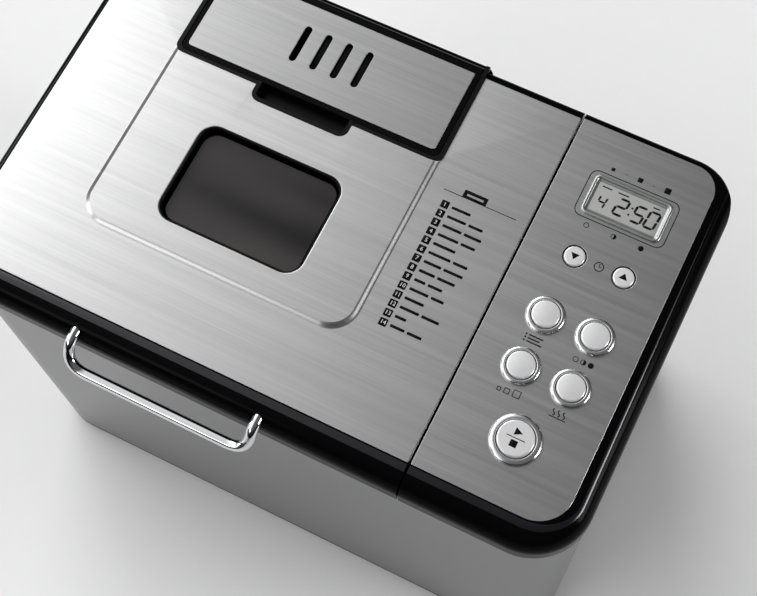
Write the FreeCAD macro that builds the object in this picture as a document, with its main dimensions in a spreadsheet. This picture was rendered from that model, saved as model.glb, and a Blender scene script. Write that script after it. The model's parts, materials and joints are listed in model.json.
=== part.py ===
import FreeCAD, Part
import math
import os
import Sketcher
from FreeCAD import Placement, Rotation, Vector

# A bread machine: steel wrapped base with a baking chamber, hinged lid with a window and a nut dispenser,
# and a control panel on the right. X runs to the right, Y to the back and Z up, in millimetres.
# The origin is on the table, under the middle of the machine.

sizes = {
    # case outline, measured from the origin
    "motor_bay": 138,
    "case_front": 121.5,
    "case_top": 300,
    "deck_top": 275.5,
    "deck_thickness": 5.5,
    "front_corner": 36,
    "rear_corner": 29,
    "front_crown": 14,
    "side_crown": 5,
    "crown_margin": 60,
    "rim_wall": 8.5,
    "top_wall": 3,
    "fit_gap": 0.2,
    "run_gap": 0.3,
    # steel wrap, rear cover, tray and feet
    "wrap_inset": 2,
    "wrap_rear_inset": 8.5,
    "wrap_wall": 0.8,
    "wrap_bottom": 13,
    "tray_upstand": 12,
    "tray_wall": 2,
    "foot_height": 9,
    "foot_radius": 11,
    "foot_chamfer": 1.5,
    "foot_peg": 4,
    "foot_inset": 37.5,
    "foot_inset_y": 28,
    "cover_half_width": 145,
    "cover_flange": 10,
    "cover_low": 45,
    "cover_high": 240,
    "cover_wall": 3,
    "cover_proud": 1.2,
    "slot_width": 60,
    "slot_height": 5,
    "slot_pitch": 12,
    "slot_rows": 8,
    "gland_x": 120,
    "gland_z": 62,
    "gland_bore": 4,
    "gland_body": 8,
    "gland_flange": 11,
    "gland_lip": 4,
    "gland_nut": 6,
    "screw_radius": 1.8,
    "screw_head": 3.6,
    "screw_head_height": 1.6,
    "screw_length": 9,
    # baking chamber
    "chamber_inset": 31,
    "chamber_front_inset": 37.5,
    "chamber_rear_inset": 26.5,
    "pan_side_room": 18,
    "pan_end_room": 21,
    "chamber_floor": 70,
    "chamber_corner": 25,
    "chamber_wall": 0.8,
    "chamber_flange": 12,
    "element_radius": 3.3,
    "element_inset": 12,
    "element_height": 92,
    "element_bend": 9,
    "element_half_span": 20,
    "element_tail": 16,
    "bush_radius": 6,
    "bush_flange": 9,
    "bush_lip": 2.5,
    "sensor_radius": 3,
    "sensor_reach": 9,
    "sensor_height": 150,
    "sensor_flange": 7,
    # pan, its seat and the paddle
    "pan_width": 200,
    "pan_depth": 150,
    "pan_taper": 5,
    "pan_bottom": 85,
    "pan_height": 140,
    "pan_wall": 1.5,
    "pan_corner": 25,
    "pan_rim": 4,
    "seat_bore": 17.5,
    "seat_radius": 45,
    "seat_floor": 2,
    "seat_wall": 6.5,
    "seat_height": 10,
    "clip_width": 14,
    "clip_wall": 1.2,
    "skirt_wall": 3,
    "base_disc": 2.5,
    "bail_radius": 2,
    "bail_pivot_drop": 7,
    "bail_side_gap": 1.5,
    "bail_bend": 12,
    "paddle_hub": 8,
    "paddle_height": 28,
    "paddle_cap": 2,
    "paddle_reach": 42,
    "paddle_blade": 5,
    # drive
    "drive_radius": 4,
    "drive_bottom": 30,
    "dog_radius": 16,
    "dog_height": 7.6,
    "dog_floor": 3.2,
    "wing_length": 26,
    "wing_width": 6,
    "wing_height": 5.5,
    "chassis_low": 56,
    "chassis_thickness": 2,
    "chassis_reach": 66.5,
    "chassis_right_inset": 17.5,
    "post_radius": 5,
    "post_inset": 10,
    "bearing_radius": 9,
    "bearing_flange": 16,
    "bearing_drop": 6,
    "bearing_rise": 9,
    "pulley_low": 34,
    "pulley_height": 12,
    "pulley_flange": 1.5,
    "pulley_lip": 3.5,
    "big_seat": 54,
    "small_seat": 9,
    "belt_thickness": 2,
    "motor_right_inset": 69.5,
    "motor_radius": 38,
    "motor_height": 62,
    "motor_wall": 3,
    "motor_shaft_radius": 3,
    "rotor_gap": 7,
    # control panel
    "panel_width": 101.5,
    "seam_gap": 1,
    "seam_wall": 2.5,
    "plate_wall": 0.8,
    "plate_front_inset": 16.3,
    "plate_right_inset": 13.2,
    "plate_rear_inset": 5,
    "plate_front_corner": 21,
    "plate_rear_corner": 15.5,
    "panel_axis_inset": 55.5,
    "display_y": 86.3,
    "display_width": 42,
    "display_depth": 19.5,
    "display_frame": 3.6,
    "display_rise": 1.5,
    "display_corner": 2,
    "lens_wall": 2,
    "lens_lap": 0.8,
    "button_half_pitch": 15.2,
    "timer_y": 45.9,
    "menu_rear_y": 5.6,
    "menu_front_y": -27.8,
    "start_y": -67.8,
    "timer_radius": 6.5,
    "menu_radius": 8.5,
    "start_radius": 11,
    "timer_rise": 0.9,
    "button_rise": 4.4,
    "button_round": 0.8,
    "button_travel": 1.2,
    "timer_travel": 0.6,
    "button_flange": 1.3,
    "button_flange_wall": 1.9,
    "menu_ring": 11.5,
    "start_ring": 15,
    "ring_rise": 2.6,
    "ring_edge": 0.8,
    "switch_side": 6,
    "switch_height": 3,
    "board_wall": 1.6,
    "board_inset": 9,
    "board_depth": 198,
    "board_boss": 3.5,
    "board_boss_inset": 6,
    # power board
    "power_width": 76,
    "power_depth": 46,
    "power_height": 40,
    "power_front_inset": 14,
    "power_right_inset": 17.5,
    "power_post": 3.5,
    "power_post_inset": 6,
    # lid
    "lid_gap": 0.5,
    "lid_wall": 8.5,
    "skin_wall": 0.8,
    "skin_left_inset": 4.9,
    "skin_right_inset": 0.4,
    "skin_rear_inset": 5.7,
    "skin_front_corner": 24,
    "skin_rear_corner": 18,
    "field_half_width": 86.8,
    "field_front_inset": 68.2,
    "field_rise": 2,
    "field_slope": 3,
    "field_corner": 15,
    "window_width": 92.4,
    "window_depth": 64.8,
    "window_y": -3.5,
    "window_corner": 10,
    "gasket_wall": 1.5,
    "gasket_lip": 2,
    "gasket_drop": 9.5,
    "gasket_ledge": 1,
    "glass_wall": 3,
    "inner_glass_lap": 5,
    "liner_rise": 2,
    "liner_wall": 1,
    "liner_inset": 10,
    "boss_radius": 4,
    "boss_inset": 22,
    "boss_rear_inset": 34.5,
    "handle_radius": 3,
    "handle_half_span": 59.5,
    "handle_shift": 5,
    "handle_below_top": 6.5,
    "handle_knee": 2.2,
    "handle_reach": 14,
    "handle_drop": 14.5,
    "handle_bend": 9,
    # lid hinge
    "hinge_offset": 65,
    "hinge_barrel": 5.5,
    "hinge_gap": 0.5,
    "lug_width": 8,
    "knuckle_width": 13,
    "lug_gap": 0.5,
    "lug_reach": 14,
    "lug_wall": 4,
    "pin_radius": 2,
    "notch_gap": 1.2,
    "cover_bulge": 4,
    "bulge_half_width": 93.5,
    "bulge_low": 3,
    "bulge_round": 2,
    "bulge_corner": 7,
    # nut dispenser
    "flap_half_width": 87,
    "flap_depth": 62.5,
    "flap_wall": 3.7,
    "flap_plate_wall": 0.8,
    "flap_plate_inset": 3.2,
    "flap_plate_rear_gap": 2.5,
    "flap_corner": 4,
    "flap_plate_corner": 2.5,
    "flap_plate_rear_corner": 1,
    "flap_axis_inset": 4,
    "flap_axis_drop": 5,
    "flap_round": 4.7,
    "flap_gap": 0.6,
    "frame_width": 2.6,
    "frame_corner": 6,
    "frame_top_drop": 0.4,
    "dispenser_depth": 11.6,
    "dispenser_floor": 1.5,
    "vent_width": 4.5,
    "vent_pitch": 14,
    "vent_front_gap": 20,
    "vent_length": 25.8,
    "pocket_half_width": 32.5,
    "pocket_reach": 13.5,
    "pocket_corner": 6,
    "pocket_lip": 2.8,
    "pocket_lip_rise": 0.3,
    "pocket_depth": 9,
    "pocket_wall": 2.5,
    "small_pin": 1.4,
    "small_pin_length": 11,
    "hopper_half_width": 62.5,
    "mouth_front_gap": 3,
    "mouth_rear_gap": 9.5,
    "outlet_front_reach": 20,
    "outlet_rear_reach": 10,
    "hopper_drop": 28,
    "hopper_wall": 1.5,
    "trap_wall": 2,
    "trap_barrel": 2.5,
    "trap_axis_gap": 3,
    "trap_lug": 6,
    "trap_inset": 4,
    "magnet_width": 14,
    "magnet_depth": 16,
    "magnet_side_gap": 3,
}

doc = FreeCAD.newDocument("BreadMachine")
sheet = doc.addObject("Spreadsheet::Sheet", "Sizes")
for row, (alias, amount) in enumerate(sizes.items(), start=1):
    sheet.set(f"A{row}", alias)
    sheet.set(f"B{row}", str(amount))
    sheet.setAlias(f"B{row}", alias)
doc.recompute()


class Size:
    """A length with the sheet formula that it is worked out from."""

    def __init__(self, formula, value):
        self.formula = formula
        self.value = value

    def join(self, sign, other, value):
        return Size(f"({self.formula} {sign} {formula(other)})", value)

    def __add__(self, other):
        return self.join("+", other, self.value + number(other))

    def __sub__(self, other):
        return self.join("-", other, self.value - number(other))

    def __mul__(self, other):
        return self.join("*", other, self.value * number(other))

    def __truediv__(self, other):
        return self.join("/", other, self.value / number(other))

    def __neg__(self):
        return Size(f"(0 - {self.formula})", -self.value)


def number(amount):
    return amount.value if isinstance(amount, Size) else float(amount)


def formula(amount):
    return amount.formula if isinstance(amount, Size) else repr(float(amount))


class Named:
    """The cells of the sheet, by name."""


d = Named()
for alias in sizes:
    setattr(d, alias, Size(f"Sizes.{alias}", float(sheet.get(alias))))


def bind(item, field, amount):
    item.setExpression(field, formula(amount))


def place(item, x, y, z):
    for axis, amount in zip("xyz", (x, y, z)):
        bind(item, f"Placement.Base.{axis}", amount)
    return item


def origin_plane(body, role):
    return next(item for item in body.Origin.OriginFeatures if item.Role == role)


def outline(body, name, role, offset, points):
    """A closed sketch of straight runs, each corner held by its own two formulas."""
    sketch = body.newObject("Sketcher::SketchObject", name)
    sketch.AttachmentSupport = (origin_plane(body, role), "")
    sketch.MapMode = "FlatFace"
    bind(sketch, "AttachmentOffset.Base.z", offset)
    corners = [Vector(number(across), number(along), 0) for across, along in points]
    count = len(corners)
    for index in range(count):
        sketch.addGeometry(Part.LineSegment(corners[index], corners[(index + 1) % count]), False)
    for index in range(count):
        sketch.addConstraint(Sketcher.Constraint("Coincident", index, 2, (index + 1) % count, 1))
    for index, (across, along) in enumerate(points):
        for kind, amount in (("DistanceX", across), ("DistanceY", along)):
            held = sketch.addConstraint(Sketcher.Constraint(kind, -1, 1, index, 1, number(amount)))
            sketch.setExpression(f"Constraints[{held}]", formula(amount))
    return sketch


def rectangle(x, y):
    return [(x[0], y[0]), (x[1], y[0]), (x[1], y[1]), (x[0], y[1])]


def round_edges(body, name, base, chosen, radius):
    edges = [f"Edge{index}" for index, edge in enumerate(base.Shape.Edges, start=1) if chosen(edge)]
    fillet = body.newObject("PartDesign::Fillet", name)
    fillet.Base = (base, edges)
    bind(fillet, "Radius", radius)
    doc.recompute()
    return fillet


def upright_at(corner):
    """Chooses the edge that stands on one corner of a plan."""
    across, along = number(corner[0]), number(corner[1])

    def chosen(edge):
        return all(math.hypot(v.X - across, v.Y - along) < 1e-6 for v in edge.Vertexes)

    return chosen


def plate(name, x, y, z, corner=None, corners=None, crown=None, open_side=None, bevel=None):
    """A rectangular plate; corners go front left, front right, rear right, rear left, None for a sharp one.
    A crown rounds the top edge all round, apart from the open side at that x, and a bevel slopes it
    by a drop and a run."""
    body = doc.addObject("PartDesign::Body", name)
    plan = rectangle(x, y)
    pad = body.newObject("PartDesign::Pad", f"{name}_pad")
    pad.Profile = outline(body, f"{name}_outline", "XY_Plane", z[0], plan)
    bind(pad, "Length", z[1] - z[0] if isinstance(z[1], Size) else -(z[0] - z[1]))
    doc.recompute()
    tip = pad
    radii = corners if corners else [corner] * 4
    for index, (point, radius) in enumerate(zip(plan, radii)):
        if radius is not None:
            tip = round_edges(body, f"{name}_corner{index}", tip, upright_at(point), radius)
    top = number(z[1])
    side = number(open_side) if open_side is not None else None

    def on_top_rim(edge):
        ends = edge.Vertexes
        level = all(abs(v.Z - top) < 1e-6 for v in ends)
        return level and not (side is not None and all(abs(v.X - side) < 1e-6 for v in ends))

    if crown is not None:
        round_edges(body, f"{name}_crown", tip, on_top_rim, crown)
    if bevel is not None:
        edges = [f"Edge{i}" for i, edge in enumerate(tip.Shape.Edges, start=1) if on_top_rim(edge)]
        slope = body.newObject("PartDesign::Chamfer", f"{name}_bevel")
        slope.Base = (tip, edges)
        slope.ChamferType = "Two distances"
        bind(slope, "Size", bevel[0])
        bind(slope, "Size2", bevel[1])
        doc.recompute()
    return body


def taper(name, low, high, corner=None):
    """A solid that runs from one rectangle (x, y, z) straight up to another, with its slanted edges rounded.
    The wedge tapers along its own Y, so the body is stood up on end."""
    body = doc.addObject("PartDesign::Body", name)
    wedge = body.newObject("PartDesign::AdditiveWedge", f"{name}_wedge")
    fields = {
        "Ymin": low[2], "Xmin": low[0][0], "Xmax": low[0][1], "Zmin": -low[1][1], "Zmax": -low[1][0],
        "Ymax": high[2], "X2min": high[0][0], "X2max": high[0][1], "Z2min": -high[1][1], "Z2max": -high[1][0],
    }
    for field, amount in fields.items():
        setattr(wedge, field, number(amount))
        bind(wedge, field, amount)
    body.Placement = Placement(Vector(), Rotation(Vector(1, 0, 0), 90))
    doc.recompute()
    if corner is not None:
        def slanted(edge):
            return abs(edge.Vertexes[0].Y - edge.Vertexes[1].Y) > 1e-6

        round_edges(body, f"{name}_edges", wedge, slanted, corner)
    return body


def turned(name, profile, x, y, z=0, axis=None):
    """A profile of (radius, height) corners turned about an upright axis, or about Y or X."""
    body = doc.addObject("PartDesign::Body", name)
    spin = body.newObject("PartDesign::Revolution", f"{name}_turn")
    spin.Profile = outline(body, f"{name}_profile", "XZ_Plane", 0, profile)
    spin.ReferenceAxis = (spin.Profile[0], ["V_Axis"])
    spin.Angle = 360
    if axis == "Y":
        body.Placement = Placement(Vector(), Rotation(Vector(1, 0, 0), -90))
    if axis == "X":
        body.Placement = Placement(Vector(), Rotation(Vector(0, 1, 0), 90))
    return place(body, x, y, z)


def block(name, x, y, z):
    item = doc.addObject("Part::Box", name)
    for field, (low, high) in zip(("Length", "Width", "Height"), (x, y, z)):
        bind(item, field, Size(formula(high), number(high)) - low)
    return place(item, x[0], y[0], z[0])


def rod(name, axis, start, radius, length):
    """A round bar from a start point along X, Y or Z."""
    item = doc.addObject("Part::Cylinder", name)
    turns = {"X": Rotation(Vector(0, 1, 0), 90), "Y": Rotation(Vector(1, 0, 0), -90), "Z": Rotation()}
    item.Placement = Placement(Vector(), turns[axis])
    bind(item, "Radius", radius)
    bind(item, "Height", length)
    return place(item, *start)


def fuse(name, items):
    joined = doc.addObject("Part::MultiFuse", name)
    joined.Shapes = items
    joined.Refine = True
    return joined


def cut(name, base, tools):
    item = doc.addObject("Part::Cut", name)
    item.Base = base
    item.Tool = tools[0] if len(tools) == 1 else fuse(f"{name}_tools", tools)
    item.Refine = True
    return item


def common(name, items):
    item = doc.addObject("Part::MultiCommon", name)
    item.Shapes = items
    item.Refine = True
    return item


def group(name, items):
    """Identical pieces that share one node and stay separate solids."""
    item = doc.addObject("Part::Compound", name)
    item.Links = items
    return item


def bent_path(points, bend):
    """Straight runs through the points, joined by tangent arcs of one bend radius."""
    points = [Vector(*[number(value) for value in point]) for point in points]
    bend = number(bend)
    edges = []
    start = points[0]
    for before, corner, after in zip(points, points[1:], points[2:]):
        arriving = (corner - before).normalize()
        leaving = (after - corner).normalize()
        turn = arriving.getAngle(leaving)
        back = bend * math.tan(turn / 2)
        inward = (leaving - arriving).normalize()
        middle = corner + inward * (bend / math.cos(turn / 2) - bend)
        arc_start = corner - arriving * back
        arc_end = corner + leaving * back
        edges.append(Part.LineSegment(start, arc_start).toShape())
        edges.append(Part.Arc(arc_start, middle, arc_end).toShape())
        start = arc_end
    edges.append(Part.LineSegment(start, points[-1]).toShape())
    return Part.Wire(edges)


def bent_tube(name, points, bend, radius):
    """A round wire bent to a path of straight runs and arcs."""
    path = bent_path(points, bend)
    first = path.Edges[0]
    heading = first.tangentAt(first.FirstParameter)
    ring = Part.Wire(Part.makeCircle(number(radius), first.valueAt(first.FirstParameter), heading))
    item = doc.addObject("Part::Feature", name)
    item.Shape = path.makePipeShell([ring], True, True)
    return item


made = []


def finished(item):
    made.append(item)
    return item


def grid(xs, ys):
    return [(x, y) for x in xs for y in ys]


# places that several pieces share
chamber_width = d.pan_width + d.pan_side_room * 2
chamber_depth = d.pan_depth + d.pan_end_room * 2
case_width = d.chamber_inset + chamber_width + d.motor_bay
left = -case_width / 2
right = case_width / 2
front = -d.case_front
rear = front + d.chamber_front_inset + chamber_depth + d.chamber_rear_inset
deck_low = d.deck_top - d.deck_thickness
wrap_x = (left + d.wrap_inset, right - d.wrap_inset)
wrap_y = (front + d.wrap_inset, rear - d.wrap_rear_inset)
inside_x = (wrap_x[0] + d.wrap_wall, wrap_x[1] - d.wrap_wall)
inside_y = (wrap_y[0] + d.wrap_wall, wrap_y[1] - d.wrap_wall)
chamber_x = left + d.chamber_inset + chamber_width / 2
chamber_y = front + d.chamber_front_inset + chamber_depth / 2
seam = right - d.panel_width
lid_right = seam - d.seam_gap
lid_low = d.deck_top + d.lid_gap
panel_x = right - d.panel_axis_inset
motor_x = right - d.motor_right_inset
chassis_top = d.chassis_low + d.chassis_thickness
chassis_x = (chamber_x - d.chassis_reach, right - d.chassis_right_inset)
chassis_y = (chamber_y - d.chassis_reach, chamber_y + d.chassis_reach)
power_x = (right - d.power_right_inset - d.power_width, right - d.power_right_inset)
power_y = (front + d.power_front_inset, front + d.power_front_inset + d.power_depth)
hinge_y = wrap_y[1] + d.hinge_gap + d.hinge_barrel
hinge_z = lid_low
hinge_places = (chamber_x - d.hinge_offset, chamber_x + d.hinge_offset)
screw_hole = d.screw_radius + d.fit_gap


def inset(span, amount):
    return (span[0] + amount, span[1] - amount)


def around(middle, half):
    return (middle - half, middle + half)


def wrap_corners(amount):
    """Corner radii of the wrap's outline, drawn in by an amount."""
    fore = d.front_corner - d.wrap_inset - amount
    aft = d.rear_corner - d.wrap_inset - amount
    return [fore, fore, aft, aft]


def make_screws(name, places, axis, seat, inward):
    """Screws along an axis; the head stands on the seat and the shank runs inward, +1 or -1 along it."""
    items = []
    for index, (a, b) in enumerate(places):
        head = d.screw_head_height
        shank = d.screw_length
        head_start = seat - head if inward > 0 else seat
        shank_start = seat if inward > 0 else seat - shank
        starts = [(a, head_start, b), (a, shank_start, b)]
        if axis == "Z":
            starts = [(a, b, head_start), (a, b, shank_start)]
        items.append(fuse(f"{name}_{index}", [
            rod(f"{name}_{index}_head", axis, starts[0], d.screw_head, head),
            rod(f"{name}_{index}_shank", axis, starts[1], d.screw_radius, shank),
        ]))
    return items


# rubber feet, pegged into the tray
feet_places = grid(inset((left, right), d.foot_inset), (front + d.foot_inset_y, rear - d.foot_inset_y))
foot_profile = [
    (0, 0),
    (d.foot_radius - d.foot_chamfer, 0),
    (d.foot_radius, d.foot_chamfer),
    (d.foot_radius, d.foot_height),
    (d.foot_peg, d.foot_height),
    (d.foot_peg, d.wrap_bottom),
    (0, d.wrap_bottom),
]
finished(group("rubber_feet", [turned(f"foot_{i}", foot_profile, x, y) for i, (x, y) in enumerate(feet_places)]))

# base tray: floor, upstand that the wrap stands round, posts for the chassis and the power board
chassis_posts = grid(inset(chassis_x, d.post_inset), inset(chassis_y, d.post_inset))
power_posts = grid(inset(power_x, d.power_post_inset), inset(power_y, d.power_post_inset))
upstand_gap = d.wrap_wall + d.fit_gap
upstand_z = (d.wrap_bottom, d.wrap_bottom + d.tray_upstand)
upstand = cut("tray_upstand_ring", plate(
    "tray_upstand_block", inset(wrap_x, upstand_gap), inset(wrap_y, upstand_gap), upstand_z,
    corners=wrap_corners(upstand_gap),
), [plate(
    "tray_upstand_space", inset(wrap_x, upstand_gap + d.tray_wall), inset(wrap_y, upstand_gap + d.tray_wall),
    upstand_z, corners=wrap_corners(upstand_gap + d.tray_wall),
)])
tray_floor = plate("tray_floor", wrap_x, wrap_y, (d.foot_height, d.wrap_bottom), corners=wrap_corners(0))
tray_posts = [
    rod(f"chassis_post_{i}", "Z", (x, y, d.wrap_bottom), d.post_radius, d.chassis_low - d.wrap_bottom)
    for i, (x, y) in enumerate(chassis_posts)
] + [
    rod(f"power_post_{i}", "Z", (x, y, d.wrap_bottom), d.power_post, d.power_height - d.wrap_bottom)
    for i, (x, y) in enumerate(power_posts)
]
peg_holes = [
    rod(f"peg_hole_{i}", "Z", (x, y, d.foot_height), d.foot_peg + d.fit_gap, d.wrap_bottom - d.foot_height)
    for i, (x, y) in enumerate(feet_places)
]
chassis_screw_holes = [
    rod(f"chassis_post_hole_{i}", "Z", (x, y, d.chassis_low - d.screw_length), screw_hole, d.screw_length)
    for i, (x, y) in enumerate(chassis_posts)
]
tray = fuse("tray_blank", [tray_floor, upstand] + tray_posts)
finished(cut("base_tray", tray, peg_holes + chassis_screw_holes))

# steel wrap: one sheet round the base, with a window for the rear cover
cover_x = (-d.cover_half_width, d.cover_half_width)
cover_z = (d.cover_low, d.cover_high)
cover_flange_x = inset(cover_x, -d.cover_flange)
cover_flange_z = inset(cover_z, -d.cover_flange)
cover_screw_places = grid(inset(cover_x, d.cover_flange / -2), inset(cover_z, d.cover_flange * 2))
wrap_z = (d.wrap_bottom, d.deck_top)
cover_screw_length = d.screw_length + d.cover_wall
wrap_screw_holes = [
    rod(f"wrap_screw_hole_{i}", "Y", (x, inside_y[1] - d.cover_wall, z), screw_hole, cover_screw_length)
    for i, (x, z) in enumerate(cover_screw_places)
]
finished(cut("body_wrap", plate("wrap_outside", wrap_x, wrap_y, wrap_z, corners=wrap_corners(0)), [
    plate("wrap_inside", inside_x, inside_y, wrap_z, corners=wrap_corners(d.wrap_wall)),
    block("wrap_window", inset(cover_x, -d.fit_gap), (inside_y[1] - d.fit_gap, wrap_y[1] + d.fit_gap),
          inset(cover_z, -d.fit_gap)),
] + wrap_screw_holes))

# rear cover: flange against the inside of the wrap, panel through its window, cooling slots, cord opening
panel_y = (inside_y[1], wrap_y[1] + d.cover_proud)
flange_y = (inside_y[1] - d.cover_wall, inside_y[1])
through_y = (flange_y[0], panel_y[1])
slot_first = d.cover_high - d.slot_pitch * 2
slots = []
for i in range(int(sizes["slot_rows"])):
    low = slot_first - d.slot_pitch * i
    for j, middle in enumerate((-d.cover_half_width / 2, d.cover_half_width / 2)):
        slots.append(block(f"cover_slot_{i}_{j}", around(middle, d.slot_width / 2), through_y,
                           (low - d.slot_height, low)))
gland_hole = rod("gland_hole", "Y", (d.gland_x, through_y[0], d.gland_z), d.gland_body + d.fit_gap,
                 through_y[1] - through_y[0])
finished(cut("rear_cover", fuse("cover_blank", [
    block("cover_flange_block", cover_flange_x, flange_y, cover_flange_z),
    block("cover_panel", cover_x, panel_y, cover_z),
]), slots + [gland_hole] + wrap_screw_holes))

# cord gland, clamped through the cover by its nut
gland_run = through_y[1] - through_y[0]
finished(turned("cord_gland", [
    (d.gland_bore, -d.gland_nut),
    (d.gland_flange, -d.gland_nut),
    (d.gland_flange, 0),
    (d.gland_body, 0),
    (d.gland_body, gland_run),
    (d.gland_flange, gland_run),
    (d.gland_flange, gland_run + d.gland_lip / 2),
    (d.gland_body, gland_run + d.gland_lip),
    (d.gland_bore, gland_run + d.gland_lip),
], d.gland_x, through_y[0], d.gland_z, axis="Y"))

# top frame: the deck round the chamber mouth, with the hinge lugs at its rear
mouth_x = around(chamber_x, chamber_width / 2)
mouth_y = around(chamber_y, chamber_depth / 2)
deck_z = (deck_low, d.deck_top)
deck_inset = d.wrap_wall + d.fit_gap
bay_x = (seam + d.lid_wall, right - d.lid_wall * 2)
bay_y = (front + d.lid_wall * 3, rear - d.lid_wall * 3)
lug_run = d.lug_width * 2 + d.lug_gap * 2 + d.knuckle_width
lugs = []
lug_bores = []
for i, middle in enumerate(hinge_places):
    low = middle - lug_run / 2
    for j, start in enumerate((low, low + lug_run - d.lug_width)):
        lugs.append(rod(f"lug_barrel_{i}_{j}", "X", (start, hinge_y, hinge_z), d.hinge_barrel, d.lug_width))
        lugs.append(block(f"lug_arm_{i}_{j}", (start, start + d.lug_width), (hinge_y - d.lug_reach, hinge_y),
                          (d.deck_top, d.deck_top + d.lug_wall)))
    lug_bores.append(rod(f"lug_bore_{i}", "X", (low, hinge_y, hinge_z), d.pin_radius, lug_run))
deck = plate("deck_plate", inset(wrap_x, deck_inset), inset(wrap_y, deck_inset), deck_z,
             corners=wrap_corners(deck_inset))
finished(cut("top_frame", fuse("deck_blank", [deck] + lugs), [
    plate("mouth_cut", mouth_x, mouth_y, deck_z, corner=d.chamber_corner),
    plate("bay_cut", bay_x, bay_y, deck_z, corner=d.lid_wall),
] + lug_bores))
finished(group("hinge_pins", [
    rod(f"hinge_pin_{i}", "X", (middle - lug_run / 2, hinge_y, hinge_z), d.pin_radius, lug_run)
    for i, middle in enumerate(hinge_places)
]))


def crowned_rim(name, x, z, corners, open_side, wide_x):
    """A rim block with a broad round along its front and a tight one elsewhere.
    wide_x runs past the sides that keep the tight round."""
    margin = d.crown_margin
    broad = plate(f"{name}_broad", wide_x, (front, rear + margin), z, corners=corners[:2] + [None, None],
                  crown=d.front_crown, open_side=open_side)
    tight = plate(f"{name}_tight", x, (front, rear), z, corners=corners, crown=d.side_crown, open_side=open_side)
    return common(name, [broad, tight])


# control housing: hollow rim on the right, closed on top under the steel plate
plate_low = d.case_top - d.plate_wall
ceiling = plate_low - d.top_wall
board_top = ceiling - d.button_flange_wall - d.run_gap - d.fit_gap - d.button_travel - d.switch_height
plate_x = (seam + d.seam_gap, right - d.plate_right_inset)
plate_y = (front + d.plate_front_inset, rear - d.plate_rear_inset)
plate_corners = [None, d.plate_front_corner, d.plate_rear_corner, None]
display_x = around(panel_x, d.display_width / 2)
display_y = around(d.display_y, d.display_depth / 2)
lens_x = inset(display_x, -d.lens_lap)
lens_y = inset(display_y, -d.lens_lap)
side_places = (panel_x - d.button_half_pitch, panel_x + d.button_half_pitch)
buttons = {
    "timer_down_button": (side_places[0], d.timer_y, d.timer_radius, d.timer_rise),
    "timer_up_button": (side_places[1], d.timer_y, d.timer_radius, d.timer_rise),
    "menu_button": (side_places[0], d.menu_rear_y, d.menu_radius, d.button_rise),
    "crust_button": (side_places[1], d.menu_rear_y, d.menu_radius, d.button_rise),
    "loaf_button": (side_places[0], d.menu_front_y, d.menu_radius, d.button_rise),
    "extra_button": (side_places[1], d.menu_front_y, d.menu_radius, d.button_rise),
    "start_button": (panel_x, d.start_y, d.start_radius, d.button_rise),
}
board_x = (seam + d.board_inset, right - d.board_inset * 2)
board_y = (display_y[1] + d.board_inset - d.board_depth, display_y[1] + d.board_inset)
board_screw_places = grid(inset(board_x, d.board_boss_inset), inset(board_y, d.board_boss_inset))
button_holes = [
    rod(f"{name}_hole", "Z", (x, y, ceiling), radius + d.run_gap, d.case_top - ceiling)
    for name, (x, y, radius, rise) in buttons.items()
]
lens_hole = plate("lens_hole", inset(lens_x, -d.fit_gap), inset(lens_y, -d.fit_gap), (ceiling, d.case_top),
                  corner=d.display_corner)
board_bosses = [
    rod(f"board_boss_{i}", "Z", (x, y, board_top), d.board_boss, ceiling - board_top)
    for i, (x, y) in enumerate(board_screw_places)
]
board_screw_holes = [
    rod(f"board_screw_hole_{i}", "Z", (x, y, board_top - d.board_wall), screw_hole, d.screw_length)
    for i, (x, y) in enumerate(board_screw_places)
]
housing_rim = crowned_rim("housing_rim", (seam, right), (d.deck_top, d.case_top),
                          [None, d.front_corner, d.rear_corner, None], seam, (seam, right))
housing_shell = cut("housing_shell", housing_rim, [
    plate("housing_space", (seam + d.seam_wall, right - d.rim_wall), inset((front, rear), d.rim_wall),
          (d.deck_top, ceiling), corners=[None, d.front_corner - d.rim_wall, d.rear_corner - d.rim_wall, None]),
    plate("plate_recess", inset(plate_x, -d.fit_gap), inset(plate_y, -d.fit_gap), (plate_low, d.case_top),
          corners=plate_corners),
])
finished(cut("control_housing", fuse("housing_blank", [housing_shell] + board_bosses),
             button_holes + [lens_hole] + board_screw_holes))
finished(cut("control_plate", plate("control_plate_sheet", plate_x, plate_y, (plate_low, d.case_top),
                                    corners=plate_corners), button_holes + [lens_hole]))

# display: bezel on the plate, lens under it, display panel on the board
lens_z = (d.case_top - d.lens_wall, d.case_top)
bezel_z = (d.case_top, d.case_top + d.display_rise)
finished(cut("display_bezel", plate("bezel_block", inset(display_x, -d.display_frame),
                                    inset(display_y, -d.display_frame), bezel_z, corner=d.display_frame,
                                    crown=d.display_rise / 2),
             [plate("bezel_opening", display_x, display_y, bezel_z, corner=d.display_corner)]))
finished(plate("display_lens", lens_x, lens_y, lens_z, corner=d.display_corner))
finished(plate("display_panel", lens_x, lens_y, (board_top, lens_z[0]), corner=d.display_corner))

# chrome rings round the five larger buttons
def make_ring(name, x, y, bore, radius):
    top = d.case_top + d.ring_rise
    return turned(name, [
        (bore, d.case_top),
        (radius, d.case_top),
        (radius, d.case_top + d.ring_edge),
        (bore + d.ring_edge * 2, top),
        (bore + d.ring_edge / 2, top),
        (bore, top - d.ring_edge / 2),
    ], x, y)


rings = []
for name, (x, y, radius, rise) in buttons.items():
    if not name.startswith("timer"):
        ring = d.start_ring if name == "start_button" else d.menu_ring
        rings.append(make_ring(f"{name}_ring", x, y, radius + d.run_gap, ring))
finished(group("button_rings", rings))

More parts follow.
